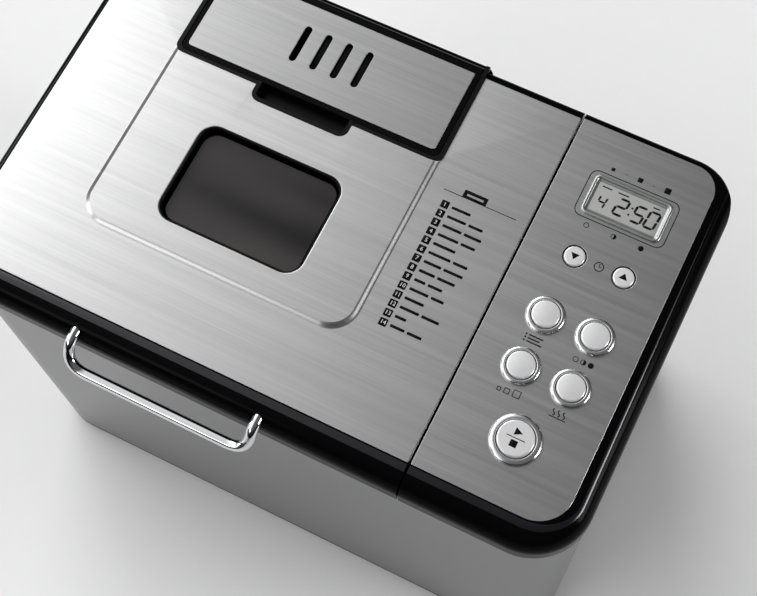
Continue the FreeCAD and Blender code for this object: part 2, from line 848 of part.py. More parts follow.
# button caps, each held up under the housing by its flange
for name, (x, y, radius, rise) in buttons.items():
    travel = d.timer_travel if name.startswith("timer") else d.button_travel
    flange_top = ceiling - d.run_gap
    cap_top = d.case_top + rise
    finished(turned(name, [
        (0, board_top + d.switch_height + travel + d.fit_gap),
        (radius + d.button_flange, board_top + d.switch_height + travel + d.fit_gap),
        (radius + d.button_flange, flange_top),
        (radius, flange_top),
        (radius, cap_top - d.button_round),
        (radius - d.button_round, cap_top),
        (0, cap_top),
    ], x, y))

# control board with its switches
board_z = (board_top - d.board_wall, board_top)
finished(cut("control_board", plate("board_sheet", board_x, board_y, board_z, corner=d.ring_rise),
             board_screw_holes))
finished(group("tact_switches", [
    block(f"{name}_switch", around(x, d.switch_side / 2), around(y, d.switch_side / 2),
          (board_top, board_top + d.switch_height))
    for name, (x, y, radius, rise) in buttons.items()
]))

# power board on the tray posts: transformer, capacitor, relay and heat sink
power_top = d.power_height + d.board_wall
finished(plate("power_board", power_x, power_y, (d.power_height, power_top), corner=d.ring_rise))
power_mid_y = power_y[0] + d.power_depth / 2
power_rise = d.power_depth / 2
finished(group("power_components", [
    block("transformer", (power_x[0] + d.power_depth / 4, power_x[0] + d.power_depth),
          around(power_mid_y, d.power_depth / 3), (power_top, power_top + power_rise)),
    rod("capacitor", "Z", (power_x[0] + d.power_depth * 1.2, power_mid_y, power_top), d.power_depth / 8, power_rise),
    block("relay", (power_x[1] - d.power_depth * 0.42, power_x[1] - d.power_depth * 0.12),
          (power_mid_y + d.board_wall, power_y[1] - d.power_post_inset), (power_top, power_top + power_rise / 2)),
    block("heat_sink", (power_x[1] - d.power_depth * 0.42, power_x[1] - d.power_depth * 0.12),
          (power_y[0] + d.power_post_inset, power_mid_y - d.board_wall), (power_top, power_top + power_rise)),
]))


# chamber liner: sheet box hung by its flange under the deck
floor_low = d.chamber_floor - d.chamber_wall
chamber_right = mouth_x[1]
element_ends = around(chamber_y, d.element_half_span)
sensor_y = mouth_y[0]
shaft_hole = d.drive_radius + d.run_gap * 5
liner_box = plate("liner_box", inset(mouth_x, -d.chamber_wall), inset(mouth_y, -d.chamber_wall),
                  (floor_low, deck_low), corner=d.chamber_corner + d.chamber_wall)
liner_flange = plate("liner_flange", inset(mouth_x, -d.chamber_flange), inset(mouth_y, -d.chamber_flange),
                     (deck_low - d.chamber_wall, deck_low), corner=d.chamber_corner)
finished(cut("chamber_liner", fuse("liner_blank", [liner_box, liner_flange]), [
    plate("liner_space", mouth_x, mouth_y, (d.chamber_floor, deck_low), corner=d.chamber_corner),
    rod("liner_shaft_hole", "Z", (chamber_x, chamber_y, floor_low), shaft_hole, d.chamber_wall),
    rod("liner_sensor_hole", "Y", (chamber_x, sensor_y - d.chamber_wall, d.sensor_height),
        d.sensor_radius + d.fit_gap, d.chamber_wall),
] + [
    rod(f"liner_bush_hole_{i}", "X", (chamber_right, y, d.element_height), d.bush_radius + d.fit_gap, d.chamber_wall)
    for i, y in enumerate(element_ends)
]))

# heating element: one tube round the pan, its two tails through the right wall in ceramic bushes
loop_x = inset(mouth_x, d.element_inset)
loop_y = inset(mouth_y, d.element_inset)
tail_x = chamber_right + d.element_tail
element_route = [
    (tail_x, element_ends[0]),
    (loop_x[1], element_ends[0]),
    (loop_x[1], loop_y[0]),
    (loop_x[0], loop_y[0]),
    (loop_x[0], loop_y[1]),
    (loop_x[1], loop_y[1]),
    (loop_x[1], element_ends[1]),
    (tail_x, element_ends[1]),
]
element_points = [(x, y, d.element_height) for x, y in element_route]
finished(bent_tube("heating_element", element_points, min(sizes["element_bend"], sizes["element_half_span"]),
                   d.element_radius))
bush_bore = d.element_radius + d.fit_gap
finished(group("element_bushes", [
    turned(f"element_bush_{i}", [
        (bush_bore, -d.bush_lip),
        (d.bush_flange, -d.bush_lip),
        (d.bush_flange, 0),
        (d.bush_radius, 0),
        (d.bush_radius, d.chamber_wall + d.bush_lip * 2),
        (bush_bore, d.chamber_wall + d.bush_lip * 2),
    ], chamber_right, y, d.element_height, axis="X")
    for i, y in enumerate(element_ends)
]))

# temperature sensor, from outside through the front wall
finished(turned("temperature_sensor", [
    (0, -d.sensor_reach),
    (d.sensor_flange, -d.sensor_reach),
    (d.sensor_flange, 0),
    (d.sensor_radius, 0),
    (d.sensor_radius, d.chamber_wall + d.sensor_reach),
    (0, d.chamber_wall + d.sensor_reach),
], chamber_x, sensor_y - d.chamber_wall, d.sensor_height, axis="Y"))

# pan seat on the chamber floor, and the spring clips hooked over its wall
seat_top = d.chamber_floor + d.seat_height
seat_floor = d.chamber_floor + d.seat_floor
seat_inner = d.seat_radius - d.seat_wall
finished(turned("pan_seat", [
    (d.seat_bore, d.chamber_floor),
    (d.seat_radius, d.chamber_floor),
    (d.seat_radius, seat_top),
    (seat_inner, seat_top),
    (seat_inner, seat_floor),
    (d.seat_bore, seat_floor),
], chamber_x, chamber_y))
clip_y = around(chamber_y, d.clip_width / 2)
skirt_radius = seat_inner - d.run_gap * 3
clips = []
for i, side in enumerate((-1, 1)):
    outer = chamber_x + (d.seat_radius + d.fit_gap + d.clip_wall) * side
    leg = chamber_x + (d.seat_radius + d.fit_gap) * side
    hook = chamber_x + (seat_inner + d.clip_wall) * side
    leg_x = (outer, leg) if side < 0 else (leg, outer)
    hook_x = (outer, hook) if side < 0 else (hook, outer)
    clips.append(fuse(f"pan_clip_{i}", [
        block(f"pan_clip_leg_{i}", leg_x, clip_y, (d.chamber_floor, seat_top + d.clip_wall)),
        block(f"pan_clip_hook_{i}", hook_x, clip_y, (seat_top, seat_top + d.clip_wall)),
    ]))
finished(group("pan_clips", clips))

# bread pan: tapered tub with a rolled rim and holes for the bail
pan_top = d.pan_bottom + d.pan_height
pan_high_x = around(chamber_x, d.pan_width / 2)
pan_high_y = around(chamber_y, d.pan_depth / 2)
pan_low_x = inset(pan_high_x, d.pan_taper)
pan_low_y = inset(pan_high_y, d.pan_taper)
bail_z = pan_top - d.bail_pivot_drop
tub = taper("pan_tub", (pan_low_x, pan_low_y, d.pan_bottom), (pan_high_x, pan_high_y, pan_top), d.pan_corner)
rim = plate("pan_rim_plate", inset(pan_high_x, -d.pan_rim), inset(pan_high_y, -d.pan_rim),
            (pan_top - d.pan_wall, pan_top), corner=d.pan_corner + d.pan_rim)
pan_floor = d.pan_bottom + d.pan_wall
pan_space = taper("pan_space", (inset(pan_low_x, d.pan_wall), inset(pan_low_y, d.pan_wall), pan_floor),
                  (inset(pan_high_x, d.pan_wall), inset(pan_high_y, d.pan_wall), pan_top),
                  d.pan_corner - d.pan_wall)
finished(cut("bread_pan", fuse("pan_blank", [tub, rim]), [
    pan_space,
    rod("pan_shaft_hole", "Z", (chamber_x, chamber_y, d.pan_bottom), d.drive_radius + d.run_gap, d.pan_wall),
    rod("bail_hole", "X", (pan_high_x[0], chamber_y, bail_z), d.bail_radius + d.run_gap, d.pan_width),
]))
base_low = seat_floor + d.fit_gap
finished(turned("pan_base", [
    (d.drive_radius + d.run_gap, d.pan_bottom - d.base_disc),
    (skirt_radius - d.skirt_wall, d.pan_bottom - d.base_disc),
    (skirt_radius - d.skirt_wall, base_low),
    (skirt_radius, base_low),
    (skirt_radius, d.pan_bottom),
    (d.drive_radius + d.run_gap, d.pan_bottom),
], chamber_x, chamber_y))

# pan bail: wire handle folded down on the front of the rim
bail_half = d.pan_width / 2 + d.pan_rim + d.bail_side_gap + d.bail_radius
bail_x = around(chamber_x, bail_half)
bail_stub_x = around(chamber_x, d.pan_width / 2 - d.pan_taper)
bail_bar_y = pan_high_y[0]
bail_bar_z = pan_top + d.bail_radius + d.run_gap
finished(bent_tube("pan_bail", [
    (bail_stub_x[0], chamber_y, bail_z),
    (bail_x[0], chamber_y, bail_z),
    (bail_x[0], bail_bar_y, bail_bar_z),
    (bail_x[1], bail_bar_y, bail_bar_z),
    (bail_x[1], chamber_y, bail_z),
    (bail_stub_x[1], chamber_y, bail_z),
], min(sizes["bail_bend"], sizes["bail_radius"] * 2), d.bail_radius))

# kneading paddle on the pan shaft; the shaft's wing drops into the slot of the drive dog
dog_low = seat_floor + d.run_gap
dog_top = dog_low + d.dog_height
wing_low = dog_low + d.dog_floor + d.run_gap
wing_top = wing_low + d.wing_height
hub_low = pan_floor + d.run_gap * 2
hub_top = hub_low + d.paddle_height
shaft_low = dog_top + d.run_gap
shaft_top = hub_top - d.paddle_cap - d.fit_gap
finished(fuse("pan_shaft", [
    rod("pan_shaft_bar", "Z", (chamber_x, chamber_y, shaft_low), d.drive_radius, shaft_top - shaft_low),
    block("pan_shaft_wing", around(chamber_x, d.wing_length / 2), around(chamber_y, d.wing_width / 2),
          (wing_low, wing_top)),
]))
paddle_bore = d.drive_radius + d.fit_gap / 2
blade_z = (chamber_y - d.paddle_blade / 2, chamber_y + d.paddle_blade / 2)
finished(cut("kneading_paddle", fuse("paddle_blank", [
    rod("paddle_hub_bar", "Z", (chamber_x, chamber_y, hub_low), d.paddle_hub, d.paddle_height),
    plate("paddle_blade_plate", (chamber_x, chamber_x + d.paddle_reach), blade_z, (hub_low, hub_top)),
]), [rod("paddle_bore_bar", "Z", (chamber_x, chamber_y, hub_low), paddle_bore, d.paddle_height - d.paddle_cap)]))

# drive shaft, dog and pulley
drive_top = dog_low + d.dog_floor - d.fit_gap
finished(rod("drive_shaft", "Z", (chamber_x, chamber_y, d.drive_bottom), d.drive_radius, drive_top - d.drive_bottom))
slot_half = d.wing_width / 2 + d.run_gap
finished(cut("drive_dog", rod("dog_disc", "Z", (chamber_x, chamber_y, dog_low), d.dog_radius, d.dog_height), [
    block("dog_slot", around(chamber_x, d.dog_radius), around(chamber_y, slot_half),
          (dog_low + d.dog_floor, dog_top)),
    rod("dog_bore", "Z", (chamber_x, chamber_y, dog_low), d.drive_radius, d.dog_floor),
]))


def make_pulley(name, x, bore, seat):
    low = d.pulley_low
    high = low + d.pulley_height
    lip = seat + d.pulley_lip
    return turned(name, [
        (bore, low),
        (lip, low),
        (lip, low + d.pulley_flange),
        (seat, low + d.pulley_flange),
        (seat, high - d.pulley_flange),
        (lip, high - d.pulley_flange),
        (lip, high),
        (bore, high),
    ], x, chamber_y)


finished(make_pulley("drive_pulley", chamber_x, d.drive_radius, d.big_seat))
finished(make_pulley("motor_pulley", motor_x, d.motor_shaft_radius, d.small_seat))

# chassis plate with the shaft bearing
motor_hole = d.motor_shaft_radius + d.run_gap * 4
finished(cut("chassis_plate", plate("chassis_sheet", chassis_x, chassis_y, (d.chassis_low, chassis_top),
                                    corner=d.post_radius), [
    rod("bearing_hole", "Z", (chamber_x, chamber_y, d.chassis_low), d.bearing_radius + d.fit_gap,
        d.chassis_thickness),
    rod("motor_hole", "Z", (motor_x, chamber_y, d.chassis_low), motor_hole, d.chassis_thickness),
] + [
    rod(f"chassis_hole_{i}", "Z", (x, y, d.chassis_low), screw_hole, d.chassis_thickness)
    for i, (x, y) in enumerate(chassis_posts)
]))
bearing_bore = d.drive_radius + d.run_gap / 3
finished(turned("drive_bearing", [
    (bearing_bore, d.chassis_low - d.bearing_drop),
    (d.bearing_radius, d.chassis_low - d.bearing_drop),
    (d.bearing_radius, chassis_top),
    (d.bearing_flange, chassis_top),
    (d.bearing_flange, chassis_top + d.chassis_thickness),
    (d.bearing_radius, chassis_top + d.chassis_thickness),
    (d.bearing_radius, chassis_top + d.bearing_rise),
    (bearing_bore, chassis_top + d.bearing_rise),
], chamber_x, chamber_y))

# motor: hollow can standing on the chassis, shaft with its rotor
motor_top = chassis_top + d.motor_height
motor_bore = d.motor_shaft_radius + d.run_gap
motor_inner = d.motor_radius - d.motor_wall
finished(turned("motor_housing", [
    (motor_bore, chassis_top),
    (d.motor_radius, chassis_top),
    (d.motor_radius, motor_top),
    (0, motor_top),
    (0, motor_top - d.motor_wall),
    (motor_inner, motor_top - d.motor_wall),
    (motor_inner, chassis_top + d.motor_wall),
    (motor_bore, chassis_top + d.motor_wall),
], motor_x, chamber_y))
rotor_radius = motor_inner - d.rotor_gap
rotor_z = (chassis_top + d.motor_wall + d.rotor_gap, motor_top - d.motor_wall - d.rotor_gap)
finished(turned("motor_shaft", [
    (0, d.drive_bottom),
    (d.motor_shaft_radius, d.drive_bottom),
    (d.motor_shaft_radius, rotor_z[0]),
    (rotor_radius, rotor_z[0]),
    (rotor_radius, rotor_z[1]),
    (d.motor_shaft_radius, rotor_z[1]),
    (d.motor_shaft_radius, motor_top - d.motor_wall - d.run_gap),
    (0, motor_top - d.motor_wall - d.run_gap),
], motor_x, chamber_y))


def belt_loop(swell):
    """The closed line round both pulleys, a swell outside their seats, as two arcs and two tangents."""
    big = number(d.big_seat) + swell
    small = number(d.small_seat) + swell
    y = number(chamber_y)
    z = number(belt_low)
    big_x = number(chamber_x)
    small_x = number(motor_x)
    lean = math.acos((big - small) / (small_x - big_x))
    across, along = math.cos(lean), math.sin(lean)
    big_ends = [Vector(big_x + big * across, y + big * along * side, z) for side in (-1, 1)]
    small_ends = [Vector(small_x + small * across, y + small * along * side, z) for side in (-1, 1)]
    return Part.Wire([
        Part.Arc(big_ends[1], Vector(big_x - big, y, z), big_ends[0]).toShape(),
        Part.LineSegment(big_ends[0], small_ends[0]).toShape(),
        Part.Arc(small_ends[0], Vector(small_x + small, y, z), small_ends[1]).toShape(),
        Part.LineSegment(small_ends[1], big_ends[1]).toShape(),
    ])


belt_low = d.pulley_low + d.pulley_flange + d.run_gap
belt_height = number(d.pulley_height - d.pulley_flange * 2 - d.run_gap * 2)
belt_gap = number(d.run_gap)
belt = doc.addObject("Part::Feature", "drive_belt")
belt_outside = Part.Face(belt_loop(belt_gap + number(d.belt_thickness))).extrude(Vector(0, 0, belt_height))
belt.Shape = belt_outside.cut(Part.Face(belt_loop(belt_gap)).extrude(Vector(0, 0, belt_height)))
finished(belt)

# screws: chassis to tray, board to housing, rear cover to wrap
board_seat = board_top - d.board_wall
finished(group("case_screws", make_screws("chassis_screw", chassis_posts, "Z", chassis_top, -1)
               + make_screws("board_screw", board_screw_places, "Z", board_seat, 1)
               + make_screws("cover_screw", cover_screw_places, "Y", wrap_y[1], -1)))


# places of the dispenser on the lid, from the rear edge forwards
flap_axis_y = rear - d.flap_axis_inset
flap_front = flap_axis_y - d.flap_depth
pocket_front = flap_front - d.pocket_reach
vent_front = flap_front + d.vent_front_gap
vent_rear = vent_front + d.vent_length
hopper_mouth_front = flap_front + d.mouth_front_gap
hopper_mouth_rear = flap_axis_y - d.mouth_rear_gap
hopper_outlet_front = flap_front - d.outlet_front_reach
hopper_outlet_rear = flap_front + d.outlet_rear_reach
boss_rear = rear - d.boss_rear_inset
handle_height = d.case_top - d.handle_below_top

# lid skin: steel sheet with a raised field, open for the window, the dispenser and the finger pocket
skin_low = d.case_top - d.skin_wall
lid_ceiling = skin_low - d.top_wall
field_top = d.case_top + d.field_rise
skin_x = (left + d.skin_left_inset, lid_right - d.skin_right_inset)
skin_y = (front + d.plate_front_inset, rear - d.skin_rear_inset)
skin_corners = [d.skin_front_corner, None, None, d.skin_rear_corner]
field_x = around(chamber_x, d.field_half_width + d.field_slope)
field_corner = d.field_corner + d.field_slope
field_y = (front + d.field_front_inset - d.field_slope, flap_front + field_corner)
field_bevel = (d.field_rise, d.field_slope)
window_x = around(chamber_x, d.window_width / 2)
window_y = around(d.window_y, d.window_depth / 2)
recess_x = inset(around(chamber_x, d.flap_half_width), -d.flap_gap)
recess_front = flap_front - d.flap_gap
frame_x = inset(recess_x, -d.frame_width)
frame_y = (recess_front - d.frame_width, flap_axis_y + d.flap_round + d.flap_gap)
frame_top = field_top - d.frame_top_drop
frame_low = frame_top - d.dispenser_depth
pocket_x = around(chamber_x, d.pocket_half_width)
pocket_box_x = inset(pocket_x, -d.pocket_wall)
pocket_box_y = (pocket_front - d.pocket_wall, frame_y[0])
window_hole = plate("window_hole", window_x, window_y, (lid_ceiling, field_top), corner=d.window_corner)
hole_corner = d.frame_corner + d.fit_gap
dispenser_hole = plate("dispenser_hole", inset(frame_x, -d.fit_gap),
                       (frame_y[0] - d.fit_gap, frame_y[1] + d.fit_gap), (frame_low - d.fit_gap, field_top),
                       corners=[hole_corner, hole_corner, None, None])
pocket_rounds = [d.pocket_corner, d.pocket_corner, None, None]
pocket_hole = plate("pocket_hole", pocket_x, (pocket_front, flap_front), (skin_low, field_top),
                    corners=pocket_rounds)
finished(cut("lid_skin", fuse("skin_blank", [
    plate("skin_sheet", skin_x, skin_y, (skin_low, d.case_top), corners=skin_corners),
    plate("field_outside", field_x, field_y, (skin_low, field_top), corner=field_corner, bevel=field_bevel),
]), [
    plate("field_inside", field_x, field_y, (skin_low - d.skin_wall, field_top - d.skin_wall), corner=field_corner,
          bevel=field_bevel),
    window_hole,
    dispenser_hole,
    pocket_hole,
]))

# lid frame: hollow rim with the hinge cover bulge, knuckles and bosses
bulge_rear = rear + d.cover_bulge
liner_low = lid_low + d.liner_rise
liner_top = liner_low + d.liner_wall
boss_places = grid(inset((left, lid_right), d.boss_inset), (front + d.boss_inset, boss_rear))
handle_x = around(chamber_x + d.handle_shift, d.handle_half_span)
lid_rim = crowned_rim("lid_rim", (left, lid_right), (lid_low, d.case_top),
                      [d.front_corner, None, None, d.rear_corner], lid_right, (left - d.crown_margin, lid_right))
bulge = plate("lid_bulge", around(chamber_x, d.bulge_half_width), (rear - d.rim_wall, bulge_rear),
              (lid_low, d.case_top - d.bulge_low), corners=[None, None, d.bulge_corner, d.bulge_corner],
              crown=d.bulge_round)
lid_space = plate("lid_space", inset((left, lid_right), d.lid_wall), inset((front, rear), d.lid_wall),
                  (lid_low, lid_ceiling),
                  corners=[d.front_corner - d.lid_wall, None, None, d.rear_corner - d.lid_wall])
notches = []
knuckles = []
knuckle_bores = []
for i, middle in enumerate(hinge_places):
    notch_top = hinge_z + d.hinge_barrel + d.notch_gap
    notches.append(block(f"hinge_notch_{i}", around(middle, lug_run / 2 + d.notch_gap),
                         (hinge_y - d.lug_reach - d.notch_gap * 2, bulge_rear), (lid_low, notch_top)))
    knuckle_x = around(middle, d.knuckle_width / 2)
    knuckles.append(rod(f"knuckle_{i}", "X", (knuckle_x[0], hinge_y, hinge_z), d.hinge_barrel, d.knuckle_width))
    knuckles.append(block(f"knuckle_arm_{i}", knuckle_x, around(hinge_y, d.hinge_barrel), (hinge_z, notch_top)))
    knuckle_bores.append(rod(f"knuckle_bore_{i}", "X", (knuckle_x[0], hinge_y, hinge_z),
                             d.pin_radius + d.fit_gap, d.knuckle_width))
lid_bosses = [
    rod(f"lid_boss_{i}", "Z", (x, y, liner_top), d.boss_radius, lid_ceiling - liner_top)
    for i, (x, y) in enumerate(boss_places)
]
lid_screw_holes = [
    rod(f"lid_screw_hole_{i}", "Z", (x, y, liner_low), screw_hole, d.screw_length)
    for i, (x, y) in enumerate(boss_places)
]
handle_holes = [
    rod(f"handle_hole_{i}", "Y", (x, front - d.handle_knee, handle_height), d.handle_radius + d.fit_gap,
        d.lid_wall + d.handle_knee)
    for i, x in enumerate(handle_x)
]
skin_recess = plate("skin_recess", inset(skin_x, -d.fit_gap), inset(skin_y, -d.fit_gap), (skin_low, d.case_top),
                    corners=skin_corners)
pocket_opening = block("pocket_opening", inset(pocket_box_x, -d.fit_gap),
                       (pocket_box_y[0] - d.fit_gap, pocket_box_y[1]), (frame_low, field_top))
lid_shell = cut("lid_shell", fuse("lid_rim_bulge", [lid_rim, bulge]), [lid_space] + notches)
finished(cut("lid_frame", fuse("lid_frame_blank", [lid_shell] + knuckles + lid_bosses),
             knuckle_bores + lid_screw_holes + handle_holes
             + [skin_recess, window_hole, dispenser_hole, pocket_opening]))

# wire handle on the lid's front edge
handle_bar_y = front - d.handle_reach
handle_bar_z = handle_height - d.handle_drop
handle_root_y = front + d.lid_wall
handle_knee_y = front - d.handle_knee
finished(bent_tube("lid_handle", [
    (handle_x[0], handle_root_y, handle_height),
    (handle_x[0], handle_knee_y, handle_height),
    (handle_x[0], handle_bar_y, handle_bar_z),
    (handle_x[1], handle_bar_y, handle_bar_z),
    (handle_x[1], handle_knee_y, handle_height),
    (handle_x[1], handle_root_y, handle_height),
], d.handle_bend, d.handle_radius))

# window: glass on the ledge of its gasket, and a second pane on the liner
gasket_z = (field_top - d.gasket_drop, field_top + d.fit_gap)
ledge_top = gasket_z[0] + d.gasket_ledge
pane = d.fit_gap + d.gasket_wall
finished(cut("window_gasket", plate("gasket_block", inset(window_x, d.fit_gap), inset(window_y, d.fit_gap), gasket_z,
                                    corner=d.window_corner), [
    plate("gasket_space", inset(window_x, pane), inset(window_y, pane), (ledge_top, gasket_z[1]),
          corner=d.window_corner - d.gasket_wall),
    plate("gasket_light", inset(window_x, pane + d.gasket_lip), inset(window_y, pane + d.gasket_lip),
          (gasket_z[0], ledge_top), corner=d.window_corner - d.gasket_wall - d.gasket_lip),
]))
finished(plate("window_glass", inset(window_x, pane + d.fit_gap), inset(window_y, pane + d.fit_gap),
               (ledge_top, ledge_top + d.glass_wall), corner=d.window_corner - d.gasket_wall))
finished(plate("inner_glass", inset(window_x, -d.inner_glass_lap), inset(window_y, -d.inner_glass_lap),
               (liner_top, liner_top + d.glass_wall), corner=d.window_corner))

# lid liner, screwed to the bosses
liner_x = inset((left, lid_right), d.liner_inset)
liner_y = (front + d.liner_inset, hinge_y - d.lug_reach - d.notch_gap * 2)
hopper_out_x = inset(around(chamber_x, d.hopper_half_width), -d.hopper_wall)
hopper_low = frame_low - d.hopper_drop
hopper_room = d.hopper_wall * 2
liner_sheet = plate("liner_sheet", liner_x, liner_y, (liner_low, liner_top),
                    corner=d.front_corner - d.liner_inset)
finished(cut("lid_liner", liner_sheet, [
    plate("liner_window", window_x, window_y, (liner_low, liner_top), corner=d.window_corner),
    block("liner_hopper_hole", inset(hopper_out_x, -d.hopper_wall),
          (hopper_outlet_front - hopper_room, liner_y[1] - hopper_room), (liner_low, liner_top)),
] + lid_screw_holes))
finished(group("lid_screws", make_screws("lid_screw", boss_places, "Z", liner_low, 1)))

# dispenser housing: surround of the flap, floor with the hopper mouth, finger pocket in front
flap_axis_z = field_top - d.flap_axis_drop
mouth_hole = block("dispenser_mouth", around(chamber_x, d.hopper_half_width),
                   (hopper_mouth_front, hopper_mouth_rear), (frame_low, frame_low + d.dispenser_floor))
pin_starts = (frame_x[0], frame_x[1] - d.small_pin_length)
flap_pin_bores = [
    rod(f"flap_pin_bore_{i}", "X", (x, flap_axis_y, flap_axis_z), d.small_pin, d.small_pin_length)
    for i, x in enumerate(pin_starts)
]
pocket_top = field_top - d.skin_wall - d.fit_gap / 2
lip_top = field_top + d.pocket_lip_rise
lip_corner = d.pocket_corner - d.fit_gap
space_corner = d.pocket_corner - d.pocket_lip
recess_corner = d.flap_corner + d.flap_gap
finished(cut("dispenser_housing", fuse("dispenser_blank", [
    plate("dispenser_block", frame_x, frame_y, (frame_low, frame_top), corners=[d.frame_corner, d.frame_corner, None, None]),
    block("pocket_box", pocket_box_x, pocket_box_y, (frame_low, pocket_top)),
    plate("pocket_rim", inset(pocket_x, d.fit_gap), (pocket_front + d.fit_gap, recess_front), (frame_low, lip_top),
          corners=[lip_corner, lip_corner, None, None]),
]), [
    plate("flap_recess", recess_x, (recess_front, frame_y[1]), (frame_low + d.dispenser_floor, lip_top),
          corners=[recess_corner, recess_corner, None, None]),
    plate("pocket_space", inset(pocket_x, d.pocket_lip), (pocket_front + d.pocket_lip, flap_front),
          (field_top - d.pocket_depth, lip_top), corners=[space_corner, space_corner, None, None]),
    mouth_hole,
] + flap_pin_bores))

# dispenser flap: black frame with a round hinge edge, steel plate on top, vent slots through both
flap_x = around(chamber_x, d.flap_half_width)
flap_plate_z = (field_top - d.flap_plate_wall, field_top)
flap_slab_z = (flap_plate_z[0] - d.flap_wall, flap_plate_z[0])
vents = [
    plate(f"vent_{i}", around(chamber_x + d.vent_pitch * (i - 1.5), d.vent_width / 2), (vent_front, vent_rear),
          (flap_slab_z[0], field_top), corner=d.vent_width * 0.45)
    for i in range(4)
]
wide_pin_bores = [
    rod(f"flap_bore_{i}", "X", (x, flap_axis_y, flap_axis_z), d.small_pin + d.fit_gap,
        d.small_pin_length + d.fit_gap)
    for i, x in enumerate((pin_starts[0], pin_starts[1] - d.fit_gap))
]
finished(cut("flap_frame", fuse("flap_blank", [
    plate("flap_slab", flap_x, (flap_front, flap_axis_y), flap_slab_z, corners=[d.flap_corner, d.flap_corner, None, None]),
    rod("flap_hinge_edge", "X", (flap_x[0], flap_axis_y, flap_axis_z), d.flap_round, d.flap_half_width * 2),
]), vents + wide_pin_bores))
flap_plate_corners = [d.flap_plate_corner] * 2 + [d.flap_plate_rear_corner] * 2
finished(cut("flap_plate", plate("flap_plate_sheet", inset(flap_x, d.flap_plate_inset),
                                 (flap_front + d.flap_plate_inset, flap_axis_y - d.flap_plate_rear_gap),
                                 flap_plate_z, corners=flap_plate_corners), vents))

# hopper: chute under the dispenser floor, with lugs for its trapdoor
trap_y = hopper_outlet_front - d.hopper_wall - d.trap_axis_gap
trap_top = hopper_low - d.run_gap
trap_z = trap_top - d.trap_wall / 2
outlet_y = (hopper_outlet_front, hopper_outlet_rear)
mouth_span = (hopper_mouth_front, hopper_mouth_rear)
hopper_in_x = around(chamber_x, d.hopper_half_width)
lug_starts = (hopper_in_x[0] + d.trap_inset, hopper_in_x[1] - d.trap_inset - d.trap_lug)
trap_lugs = [
    block(f"trap_lug_{i}", (x, x + d.trap_lug), (trap_y - d.trap_barrel, hopper_outlet_front - d.hopper_wall / 2),
          around(trap_z, d.trap_barrel))
    for i, x in enumerate(lug_starts)
]
trap_pin_run = lug_starts[1] + d.trap_lug - lug_starts[0]
trap_pin = (lug_starts[0], trap_y, trap_z)
finished(cut("hopper", fuse("hopper_blank", [
    taper("hopper_outside", (hopper_out_x, inset(outlet_y, -d.hopper_wall), hopper_low),
          (hopper_out_x, inset(mouth_span, -d.hopper_wall), frame_low)),
] + trap_lugs), [
    taper("hopper_space", (hopper_in_x, outlet_y, hopper_low), (hopper_in_x, mouth_span, frame_low)),
    rod("trap_pin_bore", "X", trap_pin, d.small_pin, trap_pin_run),
]))

# trapdoor under the hopper, with an ear that the catch magnet holds
magnet_x0 = hopper_out_x[1] + d.magnet_side_gap
magnet_x = (magnet_x0, magnet_x0 + d.magnet_width)
magnet_y = (hopper_outlet_rear - d.magnet_depth, hopper_outlet_rear)
barrel_x = (lug_starts[0] + d.trap_lug + d.lug_gap, lug_starts[1] - d.lug_gap)
trap_z_span = (trap_top - d.trap_wall, trap_top)
trap_front = hopper_outlet_front + d.lug_gap
finished(cut("trapdoor", fuse("trapdoor_blank", [
    block("trap_plate", hopper_out_x, (trap_front, hopper_outlet_rear + d.hopper_wall), trap_z_span),
    block("trap_web", barrel_x, (trap_y, trap_front), trap_z_span),
    block("trap_ear", (hopper_out_x[1], magnet_x[1]), magnet_y, trap_z_span),
    rod("trap_barrel_bar", "X", (barrel_x[0], trap_y, trap_z), d.trap_barrel, barrel_x[1] - barrel_x[0]),
]), [rod("trap_barrel_bore", "X", trap_pin, d.small_pin + d.fit_gap, trap_pin_run)]))
finished(block("catch_magnet", magnet_x, magnet_y, (trap_top + d.run_gap, liner_low)))
finished(group("dispenser_pins", [
    rod(f"flap_pin_{i}", "X", (x, flap_axis_y, flap_axis_z), d.small_pin, d.small_pin_length)
    for i, x in enumerate(pin_starts)
] + [rod("trap_pin", "X", trap_pin, d.small_pin, trap_pin_run)]))


# every object is checked before anything is written
doc.recompute()
for item in doc.Objects:
    if "Invalid" in item.State or "Error" in item.State:
        raise SystemExit(f"{item.Label} failed: {item.State}")
for item in made:
    if item.Shape.isNull() or not item.Shape.isValid() or not item.Shape.Solids:
        raise SystemExit(f"{item.Label} has no sound shape")

os.makedirs("parts", exist_ok=True)
for item in made:
    item.Shape.exportStep(f"parts/{item.Label}.step")
    print(item.Label, len(item.Shape.Solids), round(item.Shape.Volume / 1000, 2), "cm3")
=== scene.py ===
import json
import math
import bmesh
import bpy
import numpy as np
from mathutils import Matrix, Vector


